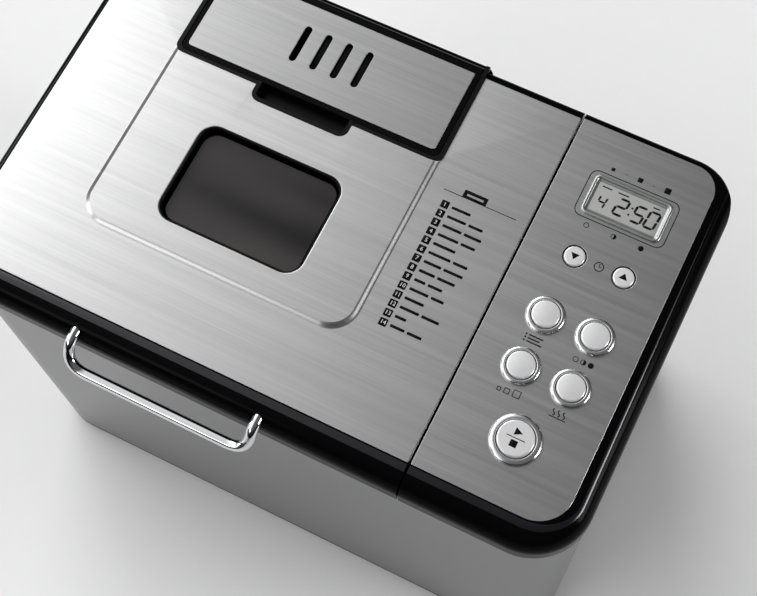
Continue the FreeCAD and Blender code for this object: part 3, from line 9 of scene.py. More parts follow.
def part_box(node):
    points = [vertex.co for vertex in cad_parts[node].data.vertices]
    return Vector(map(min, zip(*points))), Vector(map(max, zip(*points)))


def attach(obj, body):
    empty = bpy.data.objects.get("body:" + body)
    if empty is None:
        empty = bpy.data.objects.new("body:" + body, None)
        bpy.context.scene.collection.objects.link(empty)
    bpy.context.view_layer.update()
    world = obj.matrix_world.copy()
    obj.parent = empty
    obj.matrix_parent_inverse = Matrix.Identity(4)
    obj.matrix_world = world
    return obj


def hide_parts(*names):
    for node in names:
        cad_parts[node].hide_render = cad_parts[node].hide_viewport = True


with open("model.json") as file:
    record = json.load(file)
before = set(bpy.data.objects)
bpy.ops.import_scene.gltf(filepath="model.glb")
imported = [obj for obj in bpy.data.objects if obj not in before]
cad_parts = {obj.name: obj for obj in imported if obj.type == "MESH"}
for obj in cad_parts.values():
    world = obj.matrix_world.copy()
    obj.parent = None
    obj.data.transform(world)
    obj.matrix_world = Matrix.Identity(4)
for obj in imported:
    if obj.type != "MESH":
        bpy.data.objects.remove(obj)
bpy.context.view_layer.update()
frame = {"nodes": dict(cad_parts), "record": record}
nodes = frame["nodes"]
mm = 0.001
print("stage: frame loaded,", len(nodes), "nodes")

# photograph's camera: found from the straight edges of the machine
camera = dict(
    place=(0.2025, -0.2825, 1.1), lens=71.29, sensor=36.0, near=0.01, far=30.0,
    right=(0.89372847, 0.44716241, -0.03598896),   # image right, in the machine's axes
    up=(-0.40743536, 0.84265936, 0.35202505),      # image up
    back=(0.1877388, -0.29995163, 0.93529843))     # from the machine to the lens


def setCamera():
    data = bpy.data.cameras.new("photoCamera")
    data.lens = camera["lens"]
    data.sensor_width = camera["sensor"]
    data.clip_start = camera["near"]
    data.clip_end = camera["far"]
    item = bpy.data.objects.new("photoCamera", data)
    turn = Matrix((camera["right"], camera["up"], camera["back"])).transposed().to_4x4()
    item.matrix_world = Matrix.Translation(camera["place"]) @ turn
    bpy.context.scene.collection.objects.link(item)
    bpy.context.scene.camera = item


setCamera()
print("stage: camera set")


# materials
def linear(hexText):
    # sRGB hex to linear light
    parts = np.array([int(hexText[i:i + 2], 16) for i in (1, 3, 5)]) / 255
    low = parts / 12.92
    high = ((parts + 0.055) / 1.055) ** 2.4
    return tuple(np.where(parts <= 0.04045, low, high)) + (1.0,)


def feed(tree, node, links):
    # other nodes' outputs into a node's sockets, by name or number
    for key, source in links.items():
        tree.links.new(source, node.inputs[key])


def addNode(tree, kind, settings={}, links={}):
    # one node: a setting in lower case is an attribute, any other is the value of a socket
    node = tree.nodes.new(kind)
    for key, value in settings.items():
        if str(key)[0].islower():
            setattr(node, key, value)
        else:
            node.inputs[key].default_value = value
    feed(tree, node, links)
    return node


def newMaterial(name, colour, **sockets):
    # a shader whose even values sit on its own sockets; underscores stand for spaces
    material = bpy.data.materials.new(name)
    material.use_nodes = True
    tree = material.node_tree
    shader = tree.nodes["Principled BSDF"]
    shader.inputs["Base Color"].default_value = linear(colour)
    for key, value in sockets.items():
        shader.inputs[key.replace("_", " ")].default_value = value
    return material, tree, shader


noiseSpan = {"From Min": 0.25, "From Max": 0.75}   # where nearly all of a noise pattern lies
colourA, colourB, colourOut = 6, 7, 2              # colour sockets of a mix node


def dress(tree, shader, tone, dark, light, polish=None, relief=None):
    # colour runs from dark to light with tone, polish is (pattern, least, most roughness), relief (height, share, mm)
    colour = addNode(tree, "ShaderNodeMix", {"data_type": "RGBA", colourA: linear(dark), colourB: linear(light)},
                     {"Factor": tone})
    feed(tree, shader, {"Base Color": colour.outputs[colourOut]})
    if polish:
        rough = addNode(tree, "ShaderNodeMapRange", {**noiseSpan, "To Min": polish[1], "To Max": polish[2]},
                        {"Value": polish[0]})
        feed(tree, shader, {"Roughness": rough.outputs["Result"]})
    if relief:
        bumps = addNode(tree, "ShaderNodeBump", {"Strength": relief[1], "Distance": relief[2] * mm},
                        {"Height": relief[0]})
        feed(tree, shader, {"Normal": bumps.outputs["Normal"]})


# brushed stainless steel: rolled sheet with fine straight scratches that spread highlights across the grain.
# Real scratches are under 0.1 mm; they are drawn 0.25 mm wide, with their gaps 2200 to the metre, so that they show.
# fine and broad give size, detail and roughness of the pattern; depth is in millimetres
brushing = dict(fine=(1.0, 4.0, 0.7), broad=(0.12, 2.0, 0.6), broadShare=0.35, rough=(0.27, 0.37), depth=0.02,
                relief=0.5)
acrossGrain = (11.0, 2200.0, 400.0)   # scratches per metre along x, y and z: they run from side to side, 90 mm long
roundGrain = (6.0, 6.0, 2200.0)       # they run round the machine, 160 mm long


def brushedSteel(name, grain, dark, light):
    # fine scratches mixed with a broad copy of them, which gives uneven streaks
    material, tree, shader = newMaterial(name, light, Metallic=1.0, Roughness=0.3)
    place = addNode(tree, "ShaderNodeTexCoord")
    layers = []
    for size, detail, roughness in (brushing["fine"], brushing["broad"]):
        stretch = addNode(tree, "ShaderNodeMapping", {"Scale": tuple(count * size for count in grain)},
                          {"Vector": place.outputs["Object"]})
        layers.append(addNode(tree, "ShaderNodeTexNoise", {"Scale": 1.0, "Detail": detail, "Roughness": roughness},
                              {"Vector": stretch.outputs["Vector"]}))
    fine, broad = layers
    streaks = addNode(tree, "ShaderNodeMix", {"data_type": "FLOAT", "Factor": brushing["broadShare"]},
                      {"A": fine.outputs["Fac"], "B": broad.outputs["Fac"]}).outputs["Result"]
    level = addNode(tree, "ShaderNodeMapRange", noiseSpan, {"Value": streaks}).outputs["Result"]
    dress(tree, shader, level, dark, light, (streaks, *brushing["rough"]),
          (streaks, brushing["relief"], brushing["depth"]))
    return material


# moulded plastic: even colour with broad faint clouds, 18 to the metre, and the fine texture of its mould
plastic = dict(metallic=0.0, clouds=18.0, cloudDetail=4.0, cloudRough=0.6, grainDetail=2.0, sway=0.15, relief=0.6)
# plain metal: plated, cast or drawn, mottled in colour and polish in patches twenty grains across
metal = dict(metallic=1.0, patch=20.0, cloudDetail=3.0, cloudRough=0.5, grainDetail=3.0, sway=0.1, relief=0.5)
grainRough = 0.6


def mottled(kind, name, dark, light, roughness, grainMm, depth, **sockets):
    # clouds vary colour and polish; a grain of grainMm gives a relief of the given depth in millimetres
    even = {"Metallic": kind["metallic"], "Roughness": roughness, **sockets}
    material, tree, shader = newMaterial(name, light, **even)
    place = addNode(tree, "ShaderNodeTexCoord").outputs["Object"]
    grains = 1 / (grainMm * mm)
    clouds = kind["clouds"] if "clouds" in kind else grains / kind["patch"]
    cloud = addNode(tree, "ShaderNodeTexNoise", {"Scale": clouds, "Detail": kind["cloudDetail"],
                                                 "Roughness": kind["cloudRough"]}, {"Vector": place}).outputs["Fac"]
    grain = addNode(tree, "ShaderNodeTexNoise", {"Scale": grains, "Detail": kind["grainDetail"],
                                                 "Roughness": grainRough}, {"Vector": place}).outputs["Fac"]
    sway = roughness * kind["sway"]
    dress(tree, shader, cloud, dark, light, (cloud, roughness - sway, roughness + sway), (grain, kind["relief"], depth))
    return material


# tinted float glass: dark, with clear reflections, and see-through to the chamber below; lighter patches lie on it in
# broad bands, about 45 mm apart, as painted reflection, and the glass is a little rougher where they lie
tintedGlass = dict(clean="#080808", paintedReflectionTone="#4a4646", alpha=0.9, roughness=0.03, streakRoughness=0.066, ior=1.5, gloss=0.32,
                   bands=(3.0, 22.0, 22.0), bandDetail=1.5, bandRough=0.6, contrast=(-0.2, 1.2))


def windowGlass(name):
    s = tintedGlass
    material, tree, shader = newMaterial(name, s["paintedReflectionTone"], Metallic=0.0, Roughness=s["roughness"], IOR=s["ior"],
                                         Specular_IOR_Level=s["gloss"], Alpha=s["alpha"])
    place = addNode(tree, "ShaderNodeTexCoord")
    stretch = addNode(tree, "ShaderNodeMapping", {"Scale": s["bands"]}, {"Vector": place.outputs["Object"]})
    streakNoise = addNode(tree, "ShaderNodeTexNoise", {"Scale": 1.0, "Detail": s["bandDetail"], "Roughness": s["bandRough"]},
                   {"Vector": stretch.outputs["Vector"]}).outputs["Fac"]
    low, high = s["contrast"]
    # painted reflection: the lighter tone in broad bands stands in for a soft reflection streak on the glass
    paintedReflectionMix = addNode(tree, "ShaderNodeMapRange", {**noiseSpan, "To Min": low, "To Max": high}, {"Value": streakNoise})
    dress(tree, shader, paintedReflectionMix.outputs["Result"], s["clean"], s["paintedReflectionTone"], (streakNoise, s["roughness"], s["streakRoughness"]))
    return material


finish = {
    # sheet steel that shows: pale on lid and panel, a shade darker on the flap; round the case the same steel, even in
    # tone but darker, as painted shade on its upright sides
    "steelAcross": brushedSteel("brushedStainlessAcross", acrossGrain, "#aeaeaf", "#cdcdcd"),
    "steelFlap": brushedSteel("brushedStainlessFlap", acrossGrain, "#969697", "#b6b6b6"),
    "shadedSteelRound": brushedSteel("brushedStainlessRoundShaded", roundGrain, "#616162", "#868687"),
    # black mouldings: deep black with little shine, a polished bead that catches the light and is tinted a lighter
    # blue-grey as painted sheen, a matt inner moulding
    "blackGloss": mottled(plastic, "glossBlackAbs", "#070708", "#0c0c0e", 0.13, 3.0, 0.003, Specular_IOR_Level=0.05),
    "blackRim": mottled(plastic, "satinBlackAbs", "#060607", "#0a0a0b", 0.14, 3.0, 0.003, Specular_IOR_Level=0.02),
    "bead": mottled(plastic, "polishedBlackAbsPaintedSheen", "#0f0f14", "#15151c", 0.2, 3.0, 0.002, Specular_IOR_Level=0.5),
    "blackMatte": mottled(plastic, "mouldedBlackPolypropylene", "#080809", "#0d0d0e", 0.36, 0.9, 0.03,
                          Specular_IOR_Level=0.12),
    "rubber": mottled(plastic, "mouldedRubber", "#101010", "#191919", 0.62, 0.7, 0.03),
    # bright trim: mirror chrome on the handle, softer chrome on the rings, a pearly silver coat on the caps
    "chrome": mottled(metal, "polishedChrome", "#d2d3d6", "#e4e5e7", 0.06, 6.0, 0.002),
    "satinChrome": mottled(metal, "satinChrome", "#e6e7e9", "#f4f4f5", 0.2, 3.0, 0.002),
    "satin": mottled(metal, "satinMetallisedAbs", "#ebebed", "#fafafa", 0.3, 1.0, 0.006, Metallic=0.35),
    # metals inside: grey drawn sheet, a dull aluminised coat, blotchy zinc, rough castings, brown sintered bearings
    "sheetSteel": mottled(metal, "drawnSheetSteel", "#a9aaab", "#b9baba", 0.34, 2.0, 0.006),
    "aluminised": mottled(metal, "aluminisedSheetSteel", "#aeb0b2", "#c8cacb", 0.48, 2.5, 0.01, Metallic=0.55),
    "zinc": mottled(metal, "zincPlate", "#a4a6a9", "#c3c5c8", 0.3, 1.2, 0.01),
    "aluminium": mottled(metal, "castAluminium", "#b4b5b7", "#cfd0d2", 0.38, 1.2, 0.02),
    "bronze": mottled(metal, "sinteredBronze", "#8a6537", "#b08a55", 0.42, 0.6, 0.02),
    # sprayed nonstick coat: dark grey with a fine spatter and a faint metallic gleam
    "nonstick": mottled(plastic, "nonstickCoating", "#434346", "#575759", 0.4, 0.5, 0.03, Metallic=0.15),
    "solderMask": mottled(plastic, "solderMaskGreen", "#0d4a20", "#14602b", 0.3, 1.0, 0.01),   # glossy green varnish
    "ceramic": mottled(plastic, "firedCeramic", "#d8d3c6", "#ece8de", 0.55, 0.6, 0.03),        # dull cream, gritty
    "glass": windowGlass("tintedGlass"),
    # liquid crystal glass: a pale grey polariser under clear glass
    "lcd": mottled(plastic, "liquidCrystalGlass", "#a5a6a5", "#b9bab8", 0.22, 4.0, 0.001, Coat_Weight=0.5,
                   Coat_Roughness=0.05),
    # screen-printed ink: a thin even film, slightly rough; display segments are smoother
    "ink": mottled(plastic, "screenPrintedInk", "#050505", "#090909", 0.55, 0.4, 0.004, Specular_IOR_Level=0.1),
    "paleInk": mottled(plastic, "paleScreenPrintedInk", "#d9d9d8", "#e6e6e5", 0.5, 0.4, 0.004),
    "lcdInk": mottled(plastic, "liquidCrystalSegment", "#060707", "#0b0c0c", 0.3, 1.0, 0.001, Specular_IOR_Level=0.2),
}

slotFinish = {
    "brushed_steel": "steelAcross", "gloss_black": "blackGloss", "matte_black": "blackMatte", "rubber": "rubber",
    "chrome": "chrome", "satin_cap": "satin", "glass": "glass", "display": "lcd", "sheet_steel": "sheetSteel",
    "coated_aluminium": "nonstick", "aluminium": "aluminium", "zinc": "zinc", "circuit_board": "solderMask",
    "ceramic": "ceramic", "bronze": "bronze",
}
ownFinish = {"body_wrap": "shadedSteelRound", "lid_frame": "blackRim", "control_housing": "blackRim",
             "chamber_liner": "aluminised", "hopper": "nonstick", "trapdoor": "nonstick"}
for part in frame["record"]["subparts"]:
    look = finish[ownFinish.get(part["node"], slotFinish[part["material_slot"]])]
    item = nodes[part["node"]]
    item.data.materials.clear()
    item.data.materials.append(look)
print("stage: materials on the frame")


# mesh helpers, in millimetres until a mesh is written
def gridFaces(rows, cols, closed=True, rowsClosed=False):
    # quads of a rows x cols grid; closed joins the last column to the first, rowsClosed the last row too
    r, c = np.meshgrid(np.arange(rows if rowsClosed else rows - 1), np.arange(cols if closed else cols - 1),
                       indexing="ij")
    up, across = (r + 1) % rows, (c + 1) % cols
    return np.stack([r * cols + c, r * cols + across, up * cols + across, up * cols + c], -1).reshape(-1, 4)


def finishPiece(mesh, name, look, body, replaced=(), sharp=35.0):
    # a mesh made a piece: smooth up to the given angle, with its finish and body; the nodes it stands for are hidden
    mesh.shade_smooth()
    mesh.set_sharp_from_angle(angle=math.radians(sharp))
    mesh.materials.clear()
    mesh.materials.append(finish[look])
    piece = bpy.data.objects.new(name, mesh)
    bpy.context.scene.collection.objects.link(piece)
    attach(piece, body)
    if replaced:
        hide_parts(*replaced)
    return piece


def evenNormals(piece):
    # large flat faces keep their own normals, so only the narrow rounds shade off
    weigh = piece.modifiers.new("evenNormals", "WEIGHTED_NORMAL")
    weigh.keep_sharp = True


mergeGap, thinEdge = 0.002 * mm, 0.0005 * mm   # points and edges this small are one point


def cleanMesh(mesh, outward=True, upward=False):
    # poles and seams are merged; a closed shell has its faces turned outwards, an open sheet upwards
    work = bmesh.new()
    work.from_mesh(mesh)
    bmesh.ops.remove_doubles(work, verts=work.verts, dist=mergeGap)
    bmesh.ops.dissolve_degenerate(work, edges=work.edges, dist=thinEdge)
    if outward or upward:
        bmesh.ops.recalc_face_normals(work, faces=work.faces)
    if upward and sum(face.normal.z * face.calc_area() for face in work.faces) < 0:
        bmesh.ops.reverse_faces(work, faces=work.faces)
    work.to_mesh(mesh)
    work.free()


def surface(name, parts, outward=True, upward=False):
    # parts are (points, faces) pairs, joined into one mesh
    points = [np.asarray(p, float).reshape(-1, 3) for p, f in parts]
    first = np.cumsum([0] + [len(p) for p in points[:-1]])
    faces = [row for (p, f), start in zip(parts, first) for row in (np.asarray(f) + start).tolist()]
    mesh = bpy.data.meshes.new(name)
    mesh.from_pydata((np.concatenate(points) * mm).tolist(), [], faces)
    mesh.update()
    cleanMesh(mesh, outward, upward)
    return mesh


def roundedLoop(x0, x1, y0, y1, radii, count=12):
    # rectangle with a quarter circle at each corner: front left, front right, rear right, rear left
    turn = np.linspace(0, np.pi / 2, count) + np.pi + np.arange(4)[:, None] * np.pi / 2
    r = np.broadcast_to(np.asarray(radii, float), (4,))[:, None]
    x = np.array([x0, x1, x1, x0])[:, None] + np.array([1, -1, -1, 1])[:, None] * r + r * np.cos(turn)
    y = np.array([y0, y0, y1, y1])[:, None] + np.array([1, 1, -1, -1])[:, None] * r + r * np.sin(turn)
    return np.stack([x, y], -1).reshape(-1, 2)


def atHeight(loop, z):
    # a flat loop lifted to height z
    return np.concatenate([loop, np.full((len(loop), 1), float(z))], 1)


def lathe(profile, centre, closed=False, steps=72):
    # a profile of (radius, height) turned about the vertical through centre; a closed one joins its end to its start
    profile = np.asarray(profile, float)
    turn = np.linspace(0, 2 * np.pi, steps, endpoint=False)
    x = centre[0] + profile[:, :1] * np.cos(turn)
    y = centre[1] + profile[:, :1] * np.sin(turn)
    z = np.broadcast_to(profile[:, 1:], x.shape)
    return np.stack([x, y, z], -1).reshape(-1, 3), gridFaces(len(profile), steps, rowsClosed=closed)


def circle(place, radius, count=64):
    # place plus radius times cosine and sine
    turn = np.linspace(0, 2 * np.pi, count, endpoint=False)
    return np.stack([place[0] + radius * np.cos(turn), place[1] + radius * np.sin(turn)], -1)


def framed(x0, x1, y0, y1, radius, profile, count=12):
    # a profile of (inset, height) carried round a rounded rectangle and closed on itself
    least = 0.2   # smallest corner radius
    rows = [atHeight(roundedLoop(x0 + d, x1 - d, y0 + d, y1 - d, max(radius - d, least), count), z) for d, z in profile]
    return np.concatenate(rows), gridFaces(len(rows), len(rows[0]), rowsClosed=True)


def tube(path, radius, steps=20):
    # a circle carried along a path; its plane is square to the path's direction at every point
    path = np.asarray(path, float)
    along = np.gradient(path, axis=0)
    along /= np.linalg.norm(along, axis=1)[:, None]
    lean = np.array([0.45, -0.35, 0.82])   # a direction that no leg of the path follows
    side = lean - (along @ lean)[:, None] * along
    side /= np.linalg.norm(side, axis=1)[:, None]
    other = np.cross(along, side)
    turn = np.linspace(0, 2 * np.pi, steps, endpoint=False)[None, :, None]
    ring = path[:, None] + radius * (np.cos(turn) * side[:, None] + np.sin(turn) * other[:, None])
    points = np.concatenate([path[:1], ring.reshape(-1, 3), path[-1:]])
    last = len(points) - 1
    c = np.arange(steps)
    caps = [np.stack([np.zeros(steps, int), 1 + (c + 1) % steps, 1 + c], -1),
            np.stack([np.full(steps, last), last - steps + c, last - steps + (c + 1) % steps], -1)]
    return points, gridFaces(len(path), steps) + 1, caps


def smoothPath(corners, bends, count=9):
    # straight legs joined by curves: each corner is a quadratic curve that starts and ends its bend's length away
    corners = np.asarray(corners, float)
    t = np.linspace(0, 1, count)[:, None]
    legs = [corners[:1]]
    for before, corner, after, bend in zip(corners[:-2], corners[1:-1], corners[2:], bends):
        a = corner + (before - corner) / np.linalg.norm(before - corner) * bend
        b = corner + (after - corner) / np.linalg.norm(after - corner) * bend
        legs.append((1 - t) ** 2 * a + 2 * t * (1 - t) * corner + t ** 2 * b)
    return np.concatenate(legs + [corners[-1:]])


def flatPlate(name, loops, low, high, bevel, steps=3):
    # an outline with holes in it, filled, thickened, and rounded along every edge
    curve = bpy.data.curves.new(name, "CURVE")
    curve.dimensions = "2D"
    curve.fill_mode = "BOTH"
    for k, loop in enumerate(loops):
        loop = np.asarray(loop)[::-1] if k else np.asarray(loop)
        spline = curve.splines.new("POLY")
        spline.points.add(len(loop) - 1)
        flat = np.concatenate([loop * mm, np.zeros((len(loop), 1)), np.ones((len(loop), 1))], 1)
        spline.points.foreach_set("co", flat.ravel())
        spline.use_cyclic_u = True
    curve.extrude = ((high - low) / 2 - bevel) * mm
    curve.bevel_depth = bevel * mm
    curve.bevel_resolution = steps
    curve.offset = -bevel * mm
    return curveMesh(name, curve, Matrix.Translation((0, 0, (low + high) / 2 * mm)))


def curveMesh(name, curve, place):
    # a curve or text turned into a mesh, then moved to its place
    holder = bpy.data.objects.new(name + "Curve", curve)
    bpy.context.scene.collection.objects.link(holder)
    bpy.context.view_layer.update()
    mesh = bpy.data.meshes.new_from_object(holder.evaluated_get(bpy.context.evaluated_depsgraph_get()))
    bpy.data.objects.remove(holder)
    bpy.data.curves.remove(curve)
    mesh.name = name
    mesh.transform(place)
    cleanMesh(mesh)
    return mesh


# lid skin: brushed sheet with a raised field whose edge rises in a soft slope, and a window with a rolled edge
lidSkin = dict(left=-197.6, right=99.9, front=-105.2, rear=128.8, corners=(24.0, 1.0, 1.0, 18.0), level=300.06,
               centre=-53.5, fieldHalf=89.8, fieldFront=-56.3, fieldCorner=18.0, rise=1.98, slope=3.6,
               windowHalf=47.9, windowFront=-37.6, windowRear=30.6, windowCorner=11.6, roll=1.4,
               pocketHalf=32.5, pocketFront=54.5, pocketCorner=6.0, dispenserHalf=90.4, dispenserFront=64.6,
               dispenserCorner=6.2, sheet=0.6,
               lip=((0.0, 0.7), (0.05, 0.3), (0.2, 0.08), (0.5, 0.0), (1.0, 0.0)),   # inset and drop of the outer edge
               rearInset=1.0, softness=0.55, slopeSteps=13, cornerSteps=12, arcSteps=6, rollSteps=7,
               wing=(70.0, 58.0, 45.0), wingInset=2.5, windowRim=0.6, rearRun=2.0, turnIn=2.0)


def lidSkinRows():
    # three sheets of open or closed rows: flat margin, slope round the field, and field with the window in it
    s = lidSkin
    c, count, arcSteps = s["centre"], s["cornerSteps"], s["arcSteps"]
    least = 0.3   # smallest corner radius

    def outer(inset, z):
        # open path round the outside, from the dispenser's rear right corner to its rear left one
        loop = roundedLoop(s["left"] + inset, s["right"] - inset, s["front"] + inset, s["rear"] - inset,
                           np.maximum(np.array(s["corners"]) - inset, least), count).reshape(4, count, 2)
        ends = np.array([[c + s["dispenserHalf"], s["rear"] - inset], [c - s["dispenserHalf"], s["rear"] - inset]])
        path = np.concatenate([ends[:1], loop[2][::-1], loop[1][::-1], loop[0][::-1], loop[3][::-1], ends[1:]])
        return atHeight(path, z)

    def endOf(half):
        # where a line along the field's side meets the dispenser's rounded front corner
        r = s["dispenserCorner"]
        return s["dispenserFront"] + r - math.sqrt(max(r ** 2 - (half - s["dispenserHalf"] + r) ** 2, 0.0))

    def inner(inset, z, toRear=False):
        # open path round the raised field, with the dispenser's sides as its ends
        half, r = s["fieldHalf"] - inset, s["fieldCorner"] - inset
        loop = roundedLoop(c - half, c + half, s["fieldFront"] + inset, s["dispenserFront"], (r, r, 0, 0),
                           count).reshape(4, count, 2)
        end = endOf(half)
        side = np.linspace(s["rear"] - s["rearInset"] if toRear else end, end, count)
        x = np.where(side > end + s["turnIn"], s["dispenserHalf"], half)   # past the corner: along the dispenser
        right = np.stack([c + x, side], -1)
        left = np.stack([c - x, side], -1)[::-1]
        path = np.concatenate([right[:1], right, loop[1][::-1], loop[0][::-1], left, left[-1:]])
        return atHeight(path, z)

    low, top = s["level"], s["level"] + s["rise"]
    flat = [outer(inset, low - drop) for inset, drop in s["lip"]] + [inner(0.0, low, True)]
    # the slope is straight with a soft start and end: a straight line mixed with a smooth step
    t = np.linspace(0, 1, s["slopeSteps"])
    soft = s["softness"]
    rise = low + s["rise"] * ((1 - soft) * t + soft * t ** 2 * (3 - 2 * t))
    field = [inner(d, z) for d, z in zip(t * s["slope"], rise)]
    half = s["fieldHalf"] - s["slope"]
    front = roundedLoop(c - half, c + half, s["fieldFront"] + s["slope"], 0.0, s["fieldCorner"] - s["slope"],
                        count)[:2 * count]
    bend = np.linspace(0, np.pi / 2, arcSteps)
    r = s["pocketCorner"]
    arc = np.stack([s["pocketHalf"] - r + r * np.cos(bend), s["pocketFront"] + r - r * np.sin(bend)], -1)
    y = s["dispenserFront"]
    wing = [(half, endOf(half))] + [(x, y) for x in (half - s["wingInset"], *s["wing"], s["pocketHalf"])]
    rear = np.concatenate([wing, arc])
    mirrored = rear[::-1] * (-1, 1)
    edge = np.concatenate([front, np.concatenate([rear, mirrored]) + (c, 0)])

    def windowLoop(d):
        # window outline moved out by d, with points along its rear edge to meet the pocket's
        loop = roundedLoop(-s["windowHalf"] - d, s["windowHalf"] + d, s["windowFront"] - d, s["windowRear"] + d,
                           s["windowCorner"] + d, count).reshape(4, count, 2)
        corner = loop[2][np.linspace(0, count - 1, arcSteps).round().astype(int)]
        x = np.linspace(s["windowHalf"] - s["windowCorner"] - s["rearRun"], s["rearRun"], arcSteps)
        run = np.stack([x, np.full(arcSteps, s["windowRear"] + d)], -1)
        rearHalf = np.concatenate([corner, run])
        return np.concatenate([loop[0], loop[1], rearHalf, rearHalf[::-1] * (-1, 1)]) + (c, 0)

    turn = np.linspace(0, np.pi / 2, s["rollSteps"])
    window = [atHeight(edge, top), atHeight(windowLoop(s["windowRim"]), top)]
    window += [atHeight(windowLoop(-s["roll"] * np.sin(a)), top - s["roll"] * (1 - np.cos(a))) for a in turn]
    return flat, field, window


def makeLidSkin():
    flat, field, window = lidSkinRows()
    parts = [(np.concatenate(rows), gridFaces(len(rows), len(rows[0]), closed))
             for rows, closed in ((flat, False), (field, False), (window, True))]
    mesh = surface("lidSkin", parts, outward=False, upward=True)
    piece = finishPiece(mesh, "lidSkin", "steelAcross", "lid", ["lid_skin"], sharp=50.0)
    wall = piece.modifiers.new("sheet", "SOLIDIFY")
    wall.thickness = lidSkin["sheet"] * mm
    wall.offset = -1.0
    evenNormals(piece)


makeLidSkin()
print("stage: lid skin made")


# control plate: brushed sheet with holes for the display and the buttons
controlPlate = dict(left=101.15, right=189.3, front=-105.2, rear=129.5, corners=(0.8, 21.0, 15.5, 0.8), low=299.3,
                    high=300.08, edge=0.3, holeGap=0.6, displayHole=(147.0, 86.3, 45.0, 22.5, 2.5))
# push buttons: satin caps with a shallow dome; all but the timers stand in a chrome ring
timerButton = dict(radius=6.5, top=300.9, crown=0.1)
roundButton = dict(radius=8.5, top=304.36, crown=0.45, ring=11.5)
pushButtons = {
    "timer_down_button": dict(timerButton, cap="timerDownCap", place=(131.8, 45.9)),
    "timer_up_button": dict(timerButton, cap="timerUpCap", place=(162.2, 45.9)),
    "menu_button": dict(roundButton, cap="menuCap", place=(131.8, 5.6)),
    "crust_button": dict(roundButton, cap="crustCap", place=(162.2, 5.6)),
    "loaf_button": dict(roundButton, cap="loafCap", place=(131.8, -27.8)),
    "extra_button": dict(roundButton, cap="extraCap", place=(162.2, -27.8)),
    "start_button": dict(cap="startCap", place=(147.0, -67.8), radius=11.0, top=304.36, crown=0.1, ring=15.0),
}
capShape = dict(gap=0.35, edge=0.9, domeInset=1.2, flange=1.3, flangeHigh=1.9)   # gap: the dark line round each cap
ringShape = dict(low=300.0, high=302.6, gap=0.35, lip=0.45, foot=0.22, bend=0.72, start=0.02, sink=0.6)


def makeControlPlate():
    s = controlPlate
    x, y, wide, deep, corner = s["displayHole"]
    loops = [roundedLoop(s["left"], s["right"], s["front"], s["rear"], s["corners"], 16),
             roundedLoop(x - wide / 2, x + wide / 2, y - deep / 2, y + deep / 2, corner, 6)]
    loops += [circle(b["place"], b["radius"] + s["holeGap"]) for b in pushButtons.values()]
    mesh = flatPlate("controlPlate", loops, s["low"], s["high"], s["edge"])
    piece = finishPiece(mesh, "controlPlate", "steelAcross", "case", ["control_plate"], sharp=40.0)
    evenNormals(piece)


def capProfile(radius, low, top, crown):
    # flange, side, a round at the edge, then a shallow dome whose height falls with the square of the radius
    s = capShape
    edge, wide, step = s["edge"], radius + s["flange"], low + s["flangeHigh"]
    a = np.linspace(0, np.pi / 2, 7)
    shoulder = np.stack([radius - edge + edge * np.cos(a), top - crown - edge + edge * np.sin(a)], -1)
    r = np.linspace(radius - s["domeInset"], 0, 10)
    dome = np.stack([r, top - crown * (r / (radius - edge)) ** 2], -1)
    return np.concatenate([[(0, low), (wide, low), (wide, step), (radius, step)], shoulder, dome])


def ringProfile(inner, outer):
    # a superellipse falls from a narrow rounded lip inside to a thin foot: nearly flat on top, steep outside
    s = ringShape
    low, high, lipRound = s["low"], s["high"], s["lip"]
    a = np.linspace(s["start"], np.pi / 2, 15)
    middle, foot = inner + lipRound, low + s["foot"]
    skirt = np.stack([middle + (outer - middle) * np.cos(a) ** s["bend"],
                      foot + (high - foot) * np.sin(a) ** s["bend"]], -1)
    t = np.linspace(np.pi / 2, np.pi, 6)[1:]
    lip = np.stack([middle + lipRound * np.cos(t), high - lipRound + lipRound * np.sin(t)], -1)
    return np.concatenate([[(outer, low)], skirt, lip, [(inner, low - s["sink"])]])


def makeButtons():
    rings = []
    for node, b in pushButtons.items():
        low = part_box(node)[0][2] / mm
        part = lathe(capProfile(b["radius"] - capShape["gap"], low, b["top"], b["crown"]), b["place"])
        finishPiece(surface(b["cap"], [part]), b["cap"], "satin", node + "_cap", [node], sharp=50.0)
        if "ring" in b:
            rings.append(lathe(ringProfile(b["radius"] + ringShape["gap"], b["ring"]), b["place"], closed=True))
    mesh = surface("buttonRings", rings)
    finishPiece(mesh, "buttonRings", "satinChrome", "case", ["button_rings"], sharp=50.0)


makeControlPlate()
makeButtons()
print("stage: control plate and buttons made")


# display: metal frame round a grey liquid crystal glass
display = dict(x=147.0, y=86.3, wide=49.2, deep=26.7, wall=3.6, corner=4.0, low=300.0, high=301.5, glassLow=298.6,
               glassTop=299.9, side=0.4, domeShare=0.64, bend=0.7, ledge=(0.68, 0.35, 0.1), seat=0.6, glassGap=0.05,
               glassCorner=0.8, glassEdge=0.15)


